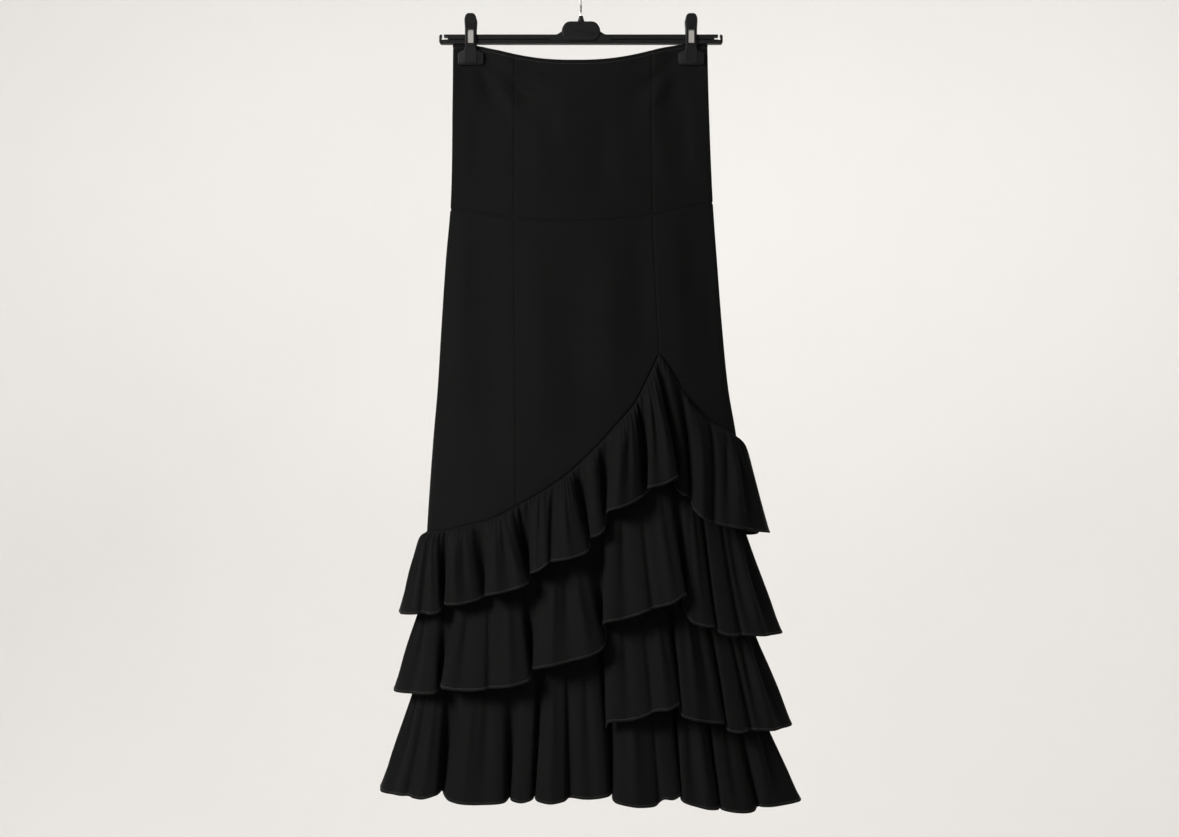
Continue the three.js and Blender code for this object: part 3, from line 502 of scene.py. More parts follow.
# Faint folds in the hanging cloth: from x, z to x, z, width, height (in is minus).
yokeFolds = [
    (-136, -108, -150, -255, 9, 0.9), (-146, -112, -128, -275, 11, -0.9), (-126, -101, -76, -172, 6.5, 1.5),
    (-128, -112, -90, -186, 7, -1.1), (-108, -103, -58, -158, 6, -1.0), (-90, -108, -42, -129, 5, 1.3),
    (-88, -116, -46, -139, 5, -0.9), (-20, -112, 62, -116, 10, 0.5), (134, -108, 152, -250, 9, 0.9),
    (144, -112, 124, -268, 11, -0.9), (126, -101, 80, -166, 6.5, 1.2), (110, -103, 64, -152, 6, -0.9),
    (92, -108, 52, -124, 5, 0.9), (-60, -150, -44, -270, 15, 1.0), (30, -160, 22, -280, 16, -1.0),
    (-24, -140, -16, -230, 12, 0.8), (96, -180, 112, -272, 13, 0.9),
]
bodyFolds = [
    (-150, -300, -158, -560, 13, 1.2), (-112, -305, -104, -655, 14, -1.2), (-60, -330, -44, -600, 18, 1.1),
    (-12, -360, -4, -600, 20, -1.1), (34, -340, 40, -540, 16, 1.0), (72, -310, 80, -480, 14, -1.2),
    (118, -300, 128, -520, 13, 1.2), (158, -300, 166, -520, 11, -1.1),
]
backYokeFolds = [
    (-138, -106, -152, -260, 10, 0.9), (-126, -104, -80, -190, 10, -0.8), (-66, -140, -52, -270, 14, 0.8),
    (6, -130, 0, -275, 18, -0.8), (58, -150, 48, -265, 14, 0.7), (128, -104, 88, -185, 9, -0.8),
    (140, -108, 150, -255, 11, 0.8),
]
backBodyFolds = [
    (-152, -300, -160, -620, 12, 1.3), (-108, -320, -100, -610, 16, -1.3), (-48, -300, -56, -560, 17, 1.1),
    (4, -310, 10, -590, 19, -1.2), (62, -330, 58, -540, 16, 1.2), (104, -300, 112, -530, 13, -1.2),
    (150, -300, 160, -520, 12, 1.1),
]


def softFolds(folds, grid, turn):
    lift = np.zeros(grid.shape[:2])
    start, ends = panelLook["foldStart"], panelLook["foldEnds"]
    for *run, width, height in folds:
        along, aside = besideRun(grid[..., 0], grid[..., 2], run, width)
        rise = np.sin(np.pi * (start + (1 - start) * along)) ** ends
        lift += panelLook["foldDepth"] * height * rise * np.exp(-aside ** 2)
    return lift * np.abs(np.cos(np.radians(turn))) ** panelLook["foldFacing"]


def bodyPanels():
    side = {"nearSide": sideRows, "farSide": sideRows[::-1]}
    seam = {"nearSide": seamRows, "farSide": seamRows[::-1]}
    edges = ["top", "bottom"]
    front = {
        "left": dict(side, farSide=seamRows[::-1], left=level(-90), right=seamTurn(leftPrincess, -1),
                     width=85, rolled=edges + ["right"]),
        "center": dict(seam, left=seamTurn(leftPrincess, 1), right=seamTurn(rightPrincess, -1),
                       width=178, rolled=edges + ["left", "right"]),
        "right": dict(side, nearSide=seamRows, left=seamTurn(rightPrincess, 1), right=level(90),
                      width=85, rolled=edges + ["left"]),
    }
    back = dict(side, left=level(90), right=level(270), width=340, rolled=edges)
    made = {}
    for part, panel in list(front.items()) + [("back", back)]:
        place = "back" if part == "back" else "front_" + part
        yoke = dict(panel, top=waistLine, bottom=lambda turn: yokeLine(turn) + clothRules["seamGap"] / 2,
                    nearTop=waistRows, folds=backYokeFolds if part == "back" else yokeFolds)
        yoke["rolled"] = [edge for edge in panel["rolled"] if edge != "top"]
        lower = dict(panel, top=lambda turn: yokeLine(turn) - clothRules["seamGap"] / 2,
                     bottom=ruffle1Line, nearTop=seamRows,
                     folds=backBodyFolds if part == "back" else bodyFolds)
        made["yoke_" + place] = addPanel("yoke_" + place, yoke)
        made["body_" + place] = addPanel("body_" + place, lower)
    under = {"nearTop": (0, 2), "nearSide": (0, 2), "farSide": (2, 0), "width": 340, "step": 9,
             "outward": -1.9, "rolled": [],
             "top": lambda turn: ruffle1Line(turn) + panelLook["underLap"],
             "bottom": underskirtLine}
    for name, left, right in (("underskirt_front", -90, 90), ("underskirt_back", 90, 270)):
        made[name] = addPanel(name, dict(under, left=level(left), right=level(right)))
    return made


# Ruffles
# One row a fold: turns of its left and right edges and of the valley to its right, how far each
# stands off the tube (left, crown, right, valley), hem heights left and right, seam left and right.
ruffle1Folds = [
    (-90, -68.4, -67.3, 27, 33, 33, 28, -795, -796, -90, -75),
    (-62.7, -55.2, -56.8, 33, 35, 31, 13, -795, -792, -71, -64),
    (-50.8, -37.4, -34.6, 36, 39, 31, 15, -783, -776, -57, -44),
    (-34.1, -19.2, -19.2, 42, 45, 38, 12, -770, -756, -37, -26),
    (-17.4, -12.3, -11.2, 41, 45, 43, 37, -742, -731, -18, -13),
    (-9.3, 1.3, 1.9, 43, 45, 38, 13, -727, -716, -9.5, -5),
    (2.7, 7, 7.9, 30, 33, 28, 12, -699, -690, 0.5, 4),
    (8.4, 19.9, 23.9, 40, 43, 31, 15, -666, -650, 11, 20.5),
    (22.2, 33.7, 33.8, 44, 45, 38, 12, -638, -625, 24.5, 29.5),
    (35, 38.9, 41.5, 18, 24, 24, 12, -643, -649, 33.5, 37.5),
    (40.8, 46.8, 49.9, 34, 40, 38, 32, -667, -681, 43, 52),
    (51.8, 90, 98, 40, 42, 32, 13, -684, -697, 57, 90),
]
ruffle2Folds = [
    (-90, -55.1, -56.6, 28, 38, 34, 13, -893, -892, -90, -61.2),
    (-50.6, -33.6, -32.1, 42, 47, 47, 42, -885, -884, -51.9, -37.4),
    (-30, -18.3, -18.2, 46, 48, 41, 12, -882, -873, -34.6, -23.6),
    (-15.8, 4.9, 7.2, 44, 49, 40, 12, -858, -836, -16.1, 0.3),
    (6.3, 20.7, 22.6, 46, 50, 50, 45, -802, -787, 8.3, 19.2),
    (24.6, 35.1, 35.4, 49, 49, 42, 17, -783, -769, 22.2, 31.7),
    (37.1, 46.3, 49, 36, 40, 38, 22, -803, -810, 39.6, 46.2),
    (48.2, 56.1, 59.3, 36, 42, 42, 36, -816, -821, 49.3, 57.5),
    (61.7, 90, 98, 43, 46, 35, 13, -821, -820, 61.5, 90),
]
ruffle3Folds = [
    (6.8, 19.1, 20.9, 44, 49, 48, 44, -923, -914, 8.8, 18.9),
    (22.8, 30, 31.7, 47, 48, 41, 17, -909, -903, 21.7, 28.8),
    (31, 46.8, 49.8, 42, 46, 42, 25, -917, -928, 32.2, 46.2),
    (48.9, 57, 59.9, 42, 46, 45, 38, -937, -938, 50.1, 57.4),
    (61.9, 90, 98, 46, 49, 39, 15, -938, -935, 61, 90),
]
ruffle4Folds = [
    (-90, -68.4, -66.4, 42, 49, 50, 45, -1016, -1019, -90, -71),
    (-62, -52.6, -54.2, 50, 50, 42, 14, -1020, -1016, -66.8, -57.2),
    (-46.5, -26.6, -25.4, 46, 54, 47, 24, -1021, -1021, -48.2, -28.4),
    (-23.6, -17.6, -17.3, 43, 46, 42, 13, -1019, -1018, -21.4, -16.8),
    (-15.2, -7.2, -5.8, 48, 54, 50, 38, -1018, -1017, -14.2, -7.8),
    (-4.5, 6.2, 7.8, 43, 50, 45, 12, -1014, -1012, -4.4, 4.4),
    (8.5, 20.6, 22.4, 50, 56, 52, 46, -1019, -1023, 10.1, 20.4),
    (23.7, 29.4, 31.5, 48, 50, 44, 14, -1016, -1013, 22.6, 28.1),
    (30.1, 42.3, 45.4, 46, 54, 50, 28, -1020, -1030, 30.7, 42.3),
    (44.3, 57.5, 62.2, 48, 56, 52, 38, -1031, -1035, 45.1, 57.5),
    (62.4, 90, 98, 48, 54, 47, 16, -1031, -1029, 63, 90),
]


def belowLine(line):
    def lineAt(turn):
        steepness = np.abs(line(turn + 1) - line(turn - 1)) / 2 / ruffleShape["fanPitch"]
        return line(turn) - clothRules["seamGap"] * (1 + ruffleShape["steepGap"] * steepness)
    return lineAt


# Creases inside the wide folds: fold number, place across it from 0 to 1, width, height (in is
# minus), how far down it is strongest.
ruffle1Creases = [
    (0, 0.45, 7, 1.6, 0.5), (0, 0.75, 6, -1.4, 0.3), (1, 0.5, 5, 1.2, 0.4), (2, 0.3, 6, 1.8, 0.5),
    (2, 0.62, 7, -1.8, 0.35), (3, 0.3, 7, 1.6, 0.6), (3, 0.6, 7, -1.6, 0.4), (3, 0.85, 6, 1.4, 0.7),
    (4, 0.5, 5, -1.4, 0.3), (5, 0.4, 6, 1.6, 0.6), (7, 0.25, 7, 1.6, 0.5), (7, 0.55, 8, -2, 0.4),
    (8, 0.35, 7, -1.8, 0.45), (8, 0.7, 7, 1.8, 0.6), (10, 0.5, 6, 1.4, 0.5), (11, 0.14, 8, -2, 0.4),
    (11, 0.3, 9, 2.2, 0.6), (11, 0.48, 9, -2.2, 0.45), (11, 0.7, 10, 2, 0.6),
]
ruffle2Creases = [
    (0, 0.3, 10, 2, 0.6), (0, 0.6, 10, -2.4, 0.6), (1, 0.45, 9, -2, 0.5), (2, 0.5, 8, 1.8, 0.7),
    (3, 0.25, 9, 2, 0.6), (3, 0.52, 10, -2.2, 0.5), (3, 0.8, 9, 1.8, 0.7), (4, 0.5, 10, -2.2, 0.5),
    (5, 0.5, 8, 2, 0.7), (6, 0.5, 6, 1.4, 0.6), (8, 0.12, 9, -2.2, 0.6), (8, 0.28, 9, 2.2, 0.7),
    (8, 0.5, 11, -2.4, 0.6), (8, 0.72, 11, 2.2, 0.7),
]
ruffle3Creases = [
    (0, 0.5, 9, -2, 0.5), (1, 0.4, 7, 1.8, 0.6), (2, 0.35, 8, 2, 0.6), (2, 0.7, 8, -1.8, 0.6),
    (4, 0.12, 8, -2.2, 0.6), (4, 0.27, 9, 2.2, 0.7), (4, 0.5, 11, -2.2, 0.6), (4, 0.72, 10, 2, 0.7),
]
ruffle4Creases = [
    (0, 0.4, 10, 2.2, 0.7), (0, 0.7, 9, -2, 0.6), (1, 0.5, 7, 1.6, 0.7), (2, 0.3, 10, 2, 0.7),
    (2, 0.65, 10, -2.2, 0.6), (4, 0.5, 8, 1.6, 0.7), (5, 0.5, 9, -2, 0.6), (6, 0.5, 10, 2, 0.7),
    (8, 0.35, 10, -2, 0.7), (8, 0.7, 9, 2, 0.7), (9, 0.5, 9, -1.8, 0.7), (10, 0.15, 9, 2.2, 0.7),
    (10, 0.4, 11, -2.4, 0.7), (10, 0.7, 11, 2.2, 0.7),
]
ruffleShape = {
    "fanPitch": 3.4, "steepGap": 3, "hemLap": 6, "valleyLift": 4, "crownDip": 2, "puffRun": 0.07,
    "valleyHold": 1.4, "draw": 0.24, "hemRoll": 1.5, "hemBand": 1.5, "bandEdge": 0.4,
    "creaseDepth": 2.1, "creaseStart": 0.5, "creaseFade": 0.45, "creaseDrift": 3,
    "waver": 0.5, "waverRun": 7.3, "waverSway": 2, "swayRun": 37,
    "hemStep": 2.7, "backStep": 3.6, "downStep": 4.5, "backDownStep": 5.85, "fineSteps": 24,
}
# Small gathers at a seam: width of one, how soon it stands out, how far it runs down, and how its
# width and height change along the seam.
gathers = {"pitch": 12, "rise": 1.8, "run": 20, "wideSway": 1.9, "wideRun": 31, "closeSway": 1.1,
           "closeRun": 13, "size": 0.75, "sizeChange": 0.45, "sizeRun": 47, "valleyPower": 1.6}
# How far the rows of points under a ruffle's seam and above its hem lie from them.
ruffleTopRows = (0, 0.8, 2, 3.5, 5.5, 8, 11, 14.5)
ruffleHemRows = (8, 5, 3.4, 2.3, ruffleShape["hemBand"], 1.0, 0.4, 0)
lowerRuffle = {"puff": 0, "facePuff": 0, "fan": 1.25, "gather": 1}
ruffles = {
    1: dict(folds=ruffle1Folds, creases=ruffle1Creases, seam=belowLine(ruffle1Line), backFolds=9,
            phase=0.4, leftHem=-795, stand=40, puff=0.24, facePuff=0.2, fan=1, gather=4.8),
    2: dict(lowerRuffle, folds=ruffle2Folds, creases=ruffle2Creases, seam=ruffle2Line, backFolds=7,
            phase=1.7, leftHem=-893, stand=44),
    3: dict(lowerRuffle, folds=ruffle3Folds, creases=ruffle3Creases, seam=ruffle3Line, backFolds=5,
            phase=2.9, leftHem=-950, stand=46, start=6, startStand=34, end=196, endStand=30),
    4: dict(lowerRuffle, folds=ruffle4Folds, creases=ruffle4Creases, backFolds=8, phase=0.9,
            leftHem=-1016, stand=50, seam=lambda turn: underskirtLine(turn) + ruffleShape["hemLap"]),
}
# The back's folds: shares of a fold's own width and stand, and how uneven they are.
backShape = {"left": 0.17, "right": 0.8, "seamLeft": 0.1, "seamRight": 0.88, "leftStand": 0.86,
             "rightStand": 0.88, "widthTurn": 2.4, "widthChange": 0.3, "standTurn": 1.9,
             "standChange": 0.12, "valley": 16, "valleyTurn": 3.1, "valleyChange": 5, "lastValley": 14,
             "endTurn": 262, "sideTurn": 90, "hemTilt": 3}


def backFolds(ruffle):
    first = ruffle["folds"][-1]
    start, rightHem = first[2], first[8]
    phase, count, side = ruffle["phase"], ruffle["backFolds"], backShape["sideTurn"]
    shares = [1 + backShape["widthChange"] * math.sin(backShape["widthTurn"] * k + phase)
              for k in range(count)]
    folds = []
    whole = (ruffle.get("end", backShape["endTurn"]) - start) / sum(shares)
    for k, share in enumerate(shares):
        width = whole * share
        hem = mix(rightHem, ruffle["leftHem"], smoothStep(start + width / 2, side, 3 * side))
        uneven = backShape["standChange"] * math.sin(backShape["standTurn"] * k + 2 * phase)
        stand = ruffle["stand"] * (1 + uneven)
        deeper = 1 + math.sin(backShape["valleyTurn"] * k + phase)
        valley = backShape["valley"] + backShape["valleyChange"] * deeper
        if k == count - 1:
            valley = ruffle.get("endStand", backShape["lastValley"])
        folds.append((start + backShape["left"] * width, start + backShape["right"] * width,
                      start + width, backShape["leftStand"] * stand, stand,
                      backShape["rightStand"] * stand, valley, hem, hem - backShape["hemTilt"],
                      start + backShape["seamLeft"] * width, start + backShape["seamRight"] * width))
        start += width
    return folds


def hemControls(ruffle):
    # seam turn, turn, stand, height and hold at the left edge, crown, right edge and valley of each
    # fold; a held valley keeps close to the tube further down
    folds = ruffle["folds"] + backFolds(ruffle)
    first, last = folds[0], folds[-1]
    whole = "end" not in ruffle
    after = (first[9] + 360, first[7], first[3]) if whole else (ruffle["end"] + 1, last[8], last[5])
    rows = []
    heldBefore = 0.0
    for k, fold in enumerate(folds):
        left, right, valley, leftStand, crownStand, rightStand, valleyStand, leftHem, rightHem = fold[:9]
        upcoming = folds[k + 1] if k + 1 < len(folds) else None
        # the wide folds are drawn narrower where they are gathered beside a deep valley
        draw = ruffleShape["draw"] * (fold[10] - fold[9])
        nextSeam, nextHem, nextStand = (upcoming[9], upcoming[7], upcoming[3]) if upcoming else after
        held = min(max(1 - valleyStand / min(rightStand, nextStand), 0), 1)
        rows.append((fold[9] + draw * heldBefore, left, leftStand, leftHem, 0))
        rows.append(((fold[9] + fold[10]) / 2, (left + right) / 2, crownStand,
                     (leftHem + rightHem) / 2 - ruffleShape["crownDip"], 0))
        drawn = 0 if right == backShape["sideTurn"] else draw * held
        rows.append((fold[10] - drawn, right, rightStand, rightHem, 0))
        rows.append(((fold[10] + nextSeam) / 2, valley, valleyStand,
                     (rightHem + nextHem) / 2 + ruffleShape["valleyLift"] * held, held))
        heldBefore = held
    rows = np.array(rows, float)
    step = np.array([360, 360, 0, 0, 0])
    if whole:
        before, beyond = rows[-1] - step, rows[0] + step
    else:
        before = np.array([ruffle["start"], ruffle["start"], ruffle["startStand"],
                           first[7] - 2 * ruffleShape["valleyLift"], 0])
        beyond = rows[-1] + np.array([2, 2, 0, 0, 0])
    return np.vstack([before, rows, beyond]), len(rows), whole


def hemAt(controls, q):
    # one smooth line through the controls; q counts them from the first fold's left edge
    spread = np.array([ruffleShape["fanPitch"], 1, 1])
    points = controls[:, 1:4] * spread
    points = np.vstack([2 * points[0] - points[1], points, 2 * points[-1] - points[-2]])
    k = np.clip(np.floor(q).astype(int), -1, len(controls) - 3)
    part = (q - k)[:, None]
    p0, p1, p2, p3 = (points[k + 1 + shift] for shift in range(4))
    gap0, gap1, gap2 = (np.maximum(np.linalg.norm(b - a, axis=1, keepdims=True), 1e-6) ** 0.5
                        for a, b in ((p0, p1), (p1, p2), (p2, p3)))
    slope1 = ((p1 - p0) / gap0 - (p2 - p0) / (gap0 + gap1) + (p2 - p1) / gap1) * gap1
    slope2 = ((p2 - p1) / gap1 - (p3 - p1) / (gap1 + gap2) + (p3 - p2) / gap2) * gap1
    place = (p1 + slope1 * part + (-3 * p1 + 3 * p2 - 2 * slope1 - slope2) * part ** 2
             + (2 * p1 - 2 * p2 + slope1 + slope2) * part ** 3)
    seam = mix(controls[k + 1, 0], controls[k + 2, 0], part[:, 0])
    held = mix(controls[k + 1, 4], controls[k + 2, 4], smoothStep(part[:, 0], 0, 1))
    return seam, place[:, 0] / ruffleShape["fanPitch"], place[:, 1], place[:, 2], held


def ruffleRest(ruffle, hem, down, lift=0.0):
    seam, turnEnd, standEnd, zEnd, held = hem
    seamTurnAt = np.where(seam > 270, seam - 360, seam)
    turn = mix(seam, turnEnd, down)
    z = mix(ruffle["seam"](seamTurnAt), zEnd, down)
    facing = np.cos(np.radians(turn)) ** 2
    puffed = ruffle["puff"] + ruffle["facePuff"] * facing
    puffed = puffed * (1 - held) * (1 - np.exp(-down / ruffleShape["puffRun"]))
    spread = puffed + (1 - puffed) * down ** (ruffle["fan"] + ruffleShape["valleyHold"] * held)
    stand = mix(-clothRules["cadWall"] / 2, standEnd, spread) + lift
    return tubePoint(turn, z) + outwardAt(turn, z) * stand[..., None]


# The back's creases: widths, heights and places, each with how much it changes from one to the next.
backCreases = {"foldTurn": 2.3, "turn": 1.7, "place": 0.65, "placeChange": 0.22, "endShare": 0.2,
               "width": 8, "widthChange": 2, "widthTurn": 1.3, "height": 1.9, "heightChange": 0.6,
               "heightTurn": 2.1, "strongest": 0.55, "strongestChange": 0.15}


def hiddenCreases(ruffle, firstFold, count):
    # two or three to a fold, uneven
    values = backCreases
    creases = []
    for k in range(count):
        number = 2 + (k + firstFold) % 2
        for j in range(number):
            turn = values["foldTurn"] * k + values["turn"] * j + ruffle["phase"]
            place = j + values["place"] + values["placeChange"] * math.sin(turn)
            height = values["height"] + values["heightChange"] * math.sin(values["heightTurn"] * turn)
            creases.append((firstFold + k, place / (number + values["endShare"]),
                            values["width"] + values["widthChange"] * math.sin(values["widthTurn"] * turn),
                            height * (-1) ** j,
                            values["strongest"] + values["strongestChange"] * math.cos(turn)))
    return creases


def gatherLift(ruffle, along, fromSeam):
    # small gathers at the seam, open out downwards
    phase = (2 * np.pi * along / gathers["pitch"] + gathers["wideSway"] * np.sin(along / gathers["wideRun"])
             + gathers["closeSway"] * np.sin(along / gathers["closeRun"]))
    size = gathers["size"] + gathers["sizeChange"] * np.sin(along / gathers["sizeRun"] + ruffle["phase"])
    tuck = ruffle["gather"] * size * (1 - (0.5 - 0.5 * np.sin(phase)) ** gathers["valleyPower"])
    lift = tuck * (1 - np.exp(-fromSeam / gathers["rise"]))
    return lift * np.exp(-fromSeam / gathers["run"])


elsewhere = -900  # a crease of the other half lies out of reach


def creaseLift(creases, along, down, fine, run):
    lift = 0.0
    start, fade = ruffleShape["creaseStart"], ruffleShape["creaseFade"]
    for fold, across, width, height, strongest in creases:
        place = np.interp(4 * fold + 2 * across, fine, run, left=elsewhere, right=elsewhere)
        reach = smoothStep(down, 0, strongest) * (1 - fade * smoothStep(down, strongest, 1))
        drift = ruffleShape["creaseDrift"] * math.sin(5 * across + fold) * (1 - down)
        ridge = bump(along + drift - place, width * (start + (1 - start) * down))
        lift = lift + ruffleShape["creaseDepth"] * height * ridge * reach
    return lift


def waverLift(along, down):
    sway = ruffleShape["waverSway"] * np.sin(along / ruffleShape["swayRun"])
    return np.sin(along / ruffleShape["waverRun"] + sway) * ruffleShape["waver"] * down ** 3


def addRuffle(number, ruffle):
    controls, count, whole = hemControls(ruffle)
    frontCount = len(ruffle["folds"])
    sideControl = 4 * frontCount - 2
    last = count if whole else count - 1
    creases = ruffle["creases"] + hiddenCreases(ruffle, frontCount, ruffle["backFolds"])
    made = {}
    for half, first, end, step, downStep in (
        ("front", 0 if whole else -1, sideControl, ruffleShape["hemStep"], ruffleShape["downStep"]),
        ("back", sideControl, last, ruffleShape["backStep"], ruffleShape["backDownStep"]),
    ):
        fine = np.linspace(first, end, ruffleShape["fineSteps"] * (end - first) + 1)
        hemLine = ruffleRest(ruffle, hemAt(controls, fine), np.ones_like(fine))
        run = runLengths(hemLine[None], 1)[0]
        along = np.linspace(0, run[-1], int(run[-1] / step) + 1)
        q = np.interp(along, run, fine)
        hem = hemAt(controls, q)
        top = ruffleRest(ruffle, hem, np.zeros_like(q))
        bottom = ruffleRest(ruffle, hem, np.ones_like(q))
        lengths = np.linalg.norm(bottom - top, axis=1)
        down = np.clip(places(lengths, downStep, ruffleTopRows, ruffleHemRows), 0, 1)
        lift = gatherLift(ruffle, along, down * lengths) + creaseLift(creases, along, down, fine, run)
        middle = ruffleRest(ruffle, hem, down, lift + waverLift(along, down))
        band, edge = ruffleShape["hemBand"], ruffleShape["bandEdge"]
        # the hem band: a thicker rolled hem, and where the colour is painted lighter as a painted highlight
        inHem = smoothStep((1 - down) * lengths, band + edge, band - edge)
        thickness = clothRules["wall"] + (ruffleShape["hemRoll"] - clothRules["wall"]) * inHem
        # front and back meet at the sides, rim to rim
        edgeY = clothRules["rimReach"] * thickness + clothRules["sideMeet"]
        if half == "front":
            middle[..., 1] = np.minimum(middle[..., 1], -edgeY)
        else:
            middle[..., 1] = np.maximum(middle[..., 1], edgeY)
        name = f"ruffle_{number}_{half}"
        made[name] = (addSheet(name, middle, thickness, inHem), middle)
    return made


cloth = bodyPanels()
print("yoke, body and underskirt made")
for number, ruffle in ruffles.items():
    cloth.update(addRuffle(number, ruffle))
print("ruffles made")


# The clip hanger
def loft(rings):
    # closes a tube of equal rings with flat ends
    count = len(rings[0])
    points = [point for ring in rings for point in ring]
    faces = []
    for i in range(len(rings) - 1):
        for k in range(count):
            a, b = i * count + k, i * count + (k + 1) % count
            faces.append((a, b, b + count, a + count))
    last = (len(rings) - 1) * count
    faces.append(tuple(range(count))[::-1])
    faces.append(tuple(last + k for k in range(count)))
    return points, faces


def solidMesh(name, form, look):
    # a closed form in millimetres, faces turned outwards
    points, faces = form
    mesh = bpy.data.meshes.new(name)
    mesh.from_pydata([tuple(point) for point in points], [], faces)
    build = bmesh.new()
    build.from_mesh(mesh)
    bmesh.ops.recalc_face_normals(build, faces=build.faces)
    build.transform(Matrix.Scale(mm, 4))
    build.to_mesh(mesh)
    build.free()
    mesh.materials.append(look)
    return addObject(name, mesh)


def plate(outline, low, high):
    return loft([[(x, y, z) for x, z in outline] for y in (low, high)])


def block(x, y, z):
    return plate([(x[0], z[0]), (x[1], z[0]), (x[1], z[1]), (x[0], z[1])], *sorted(y))


def arc(x, z, radius, start, end, steps):
    # places on an arc, angles in degrees from the right
    return [(x + radius * math.cos(math.radians(mix(start, end, k / steps))),
             z + radius * math.sin(math.radians(mix(start, end, k / steps)))) for k in range(steps + 1)]


def circle(radius, sides, x=0, z=0):
    return arc(x, z, radius, 0, 360 * (sides - 1) / sides, sides - 1)


def bothWays(first, second, side):
    # two distances from the middle, turned to one side and put in order
    return sorted((side * first, side * second))


def roundCorners(corners, radii, steps=5):
    # a closed outline with each corner eased over its own radius
    outline = []
    for k, corner in enumerate(corners):
        corner = np.array(corner, float)
        before = corner + unit(np.array(corners[k - 1]) - corner) * radii[k]
        after = corner + unit(np.array(corners[(k + 1) % len(corners)]) - corner) * radii[k]
        for t in np.linspace(0, 1, steps + 1):
            outline.append(tuple(before * (1 - t) ** 2 + 2 * corner * t * (1 - t) + after * t ** 2))
    return outline


def applied(piece):
    # the piece with its modifiers made real
    evaluated = piece.evaluated_get(bpy.context.evaluated_depsgraph_get())
    mesh = bpy.data.meshes.new_from_object(evaluated)
    piece.modifiers.clear()
    old = piece.data
    piece.data = mesh
    bpy.data.meshes.remove(old)
    return piece


def combine(piece, operation, forms):
    for form in forms:
        tool = solidMesh("toolForm", form, plasticLook)
        change = piece.modifiers.new("join", "BOOLEAN")
        change.operation = operation
        change.object = tool
        change.solver = "EXACT"
        applied(piece)
        old = tool.data
        bpy.data.objects.remove(tool)
        bpy.data.meshes.remove(old)
    return piece


bevelSteps = 3


def softEdges(piece, width, angle=25):
    bevel = piece.modifiers.new("roundEdges", "BEVEL")
    bevel.width = width * mm
    bevel.segments = bevelSteps
    bevel.limit_method = "ANGLE"
    bevel.angle_limit = math.radians(angle)
    bevel.use_clamp_overlap = True
    applied(piece)
    smoothShade(piece.data)
    smooth = piece.modifiers.new("shade", "WEIGHTED_NORMAL")
    smooth.keep_sharp = True
    return applied(piece)


hanger = {
    "halfLength": 180, "barTop": -65.1, "barBottom": -76.8, "barHalfDepth": 4.5, "barCorner": 3,
    "grooveTop": -70.6, "grooveBottom": -72.7, "grooveDepth": 2.0, "grooveHalf": 166,
    "padHalfDepth": 6, "padBevel": 1.3, "padGap": 1.0, "padGapDepth": 1.0, "fairing": 37,
    "eyeX": 175.5, "eyeZ": -69.8, "eyeRadius": 2.1, "slitEnd": 169.3, "slitHalf": 1.6,
    "webRun": 17, "webRise": 9.8, "webCurve": 2.2, "webFoot": 0.8, "webRoot": 3, "webInset": 0.4,
    "notchX": (174.0, 176.8), "through": 9, "padEdge": 0.8, "bossRadius": 2.7, "bossZ": -51.2,
    "bossTop": -47.9, "bossDepth": 1.9, "roundSides": 24, "edgeRound": 0.4,
    "bore": 1.8, "boreSides": 20, "boreEnds": (-47.3, -40), "wire": 1.5, "wireSides": 20, "loop": 16,
    "tipAngle": -25, "throatAngle": 235, "angleStep": 20, "wireSteps": 6, "tipBlunt": 0.02,
    "stem": [(0, -2.2, -34.6), (0, 0, -39.5), (0, 0, -47)],
}
# The middle pad's corners, its right half from the top down: across, height, easing.
padCorners = [(19.2, -48.6, 6), (26.4, -61, 7.5), (19.4, -73.2, 6)]
# The round neck over the pad: height, radius.
neckSteps = [(-49.8, 3.6), (-48.7, 4.7), (-47.6, 4.5), (-47, 4.0), (-45.6, 4.0), (-45, 3.3), (-43.6, 3.3),
             (-43, 2.8), (-41.6, 2.7), (-40.8, 2.2)]


def padOutline(inset):
    middle = padCorners[1][1]
    right = [(x - inset, z - inset * np.sign(z - middle)) for x, z, _ in padCorners]
    corners = right + [(-x, z) for x, z in right[::-1]]
    easings = [row[2] for row in padCorners]
    return roundCorners(corners, easings + easings[::-1])


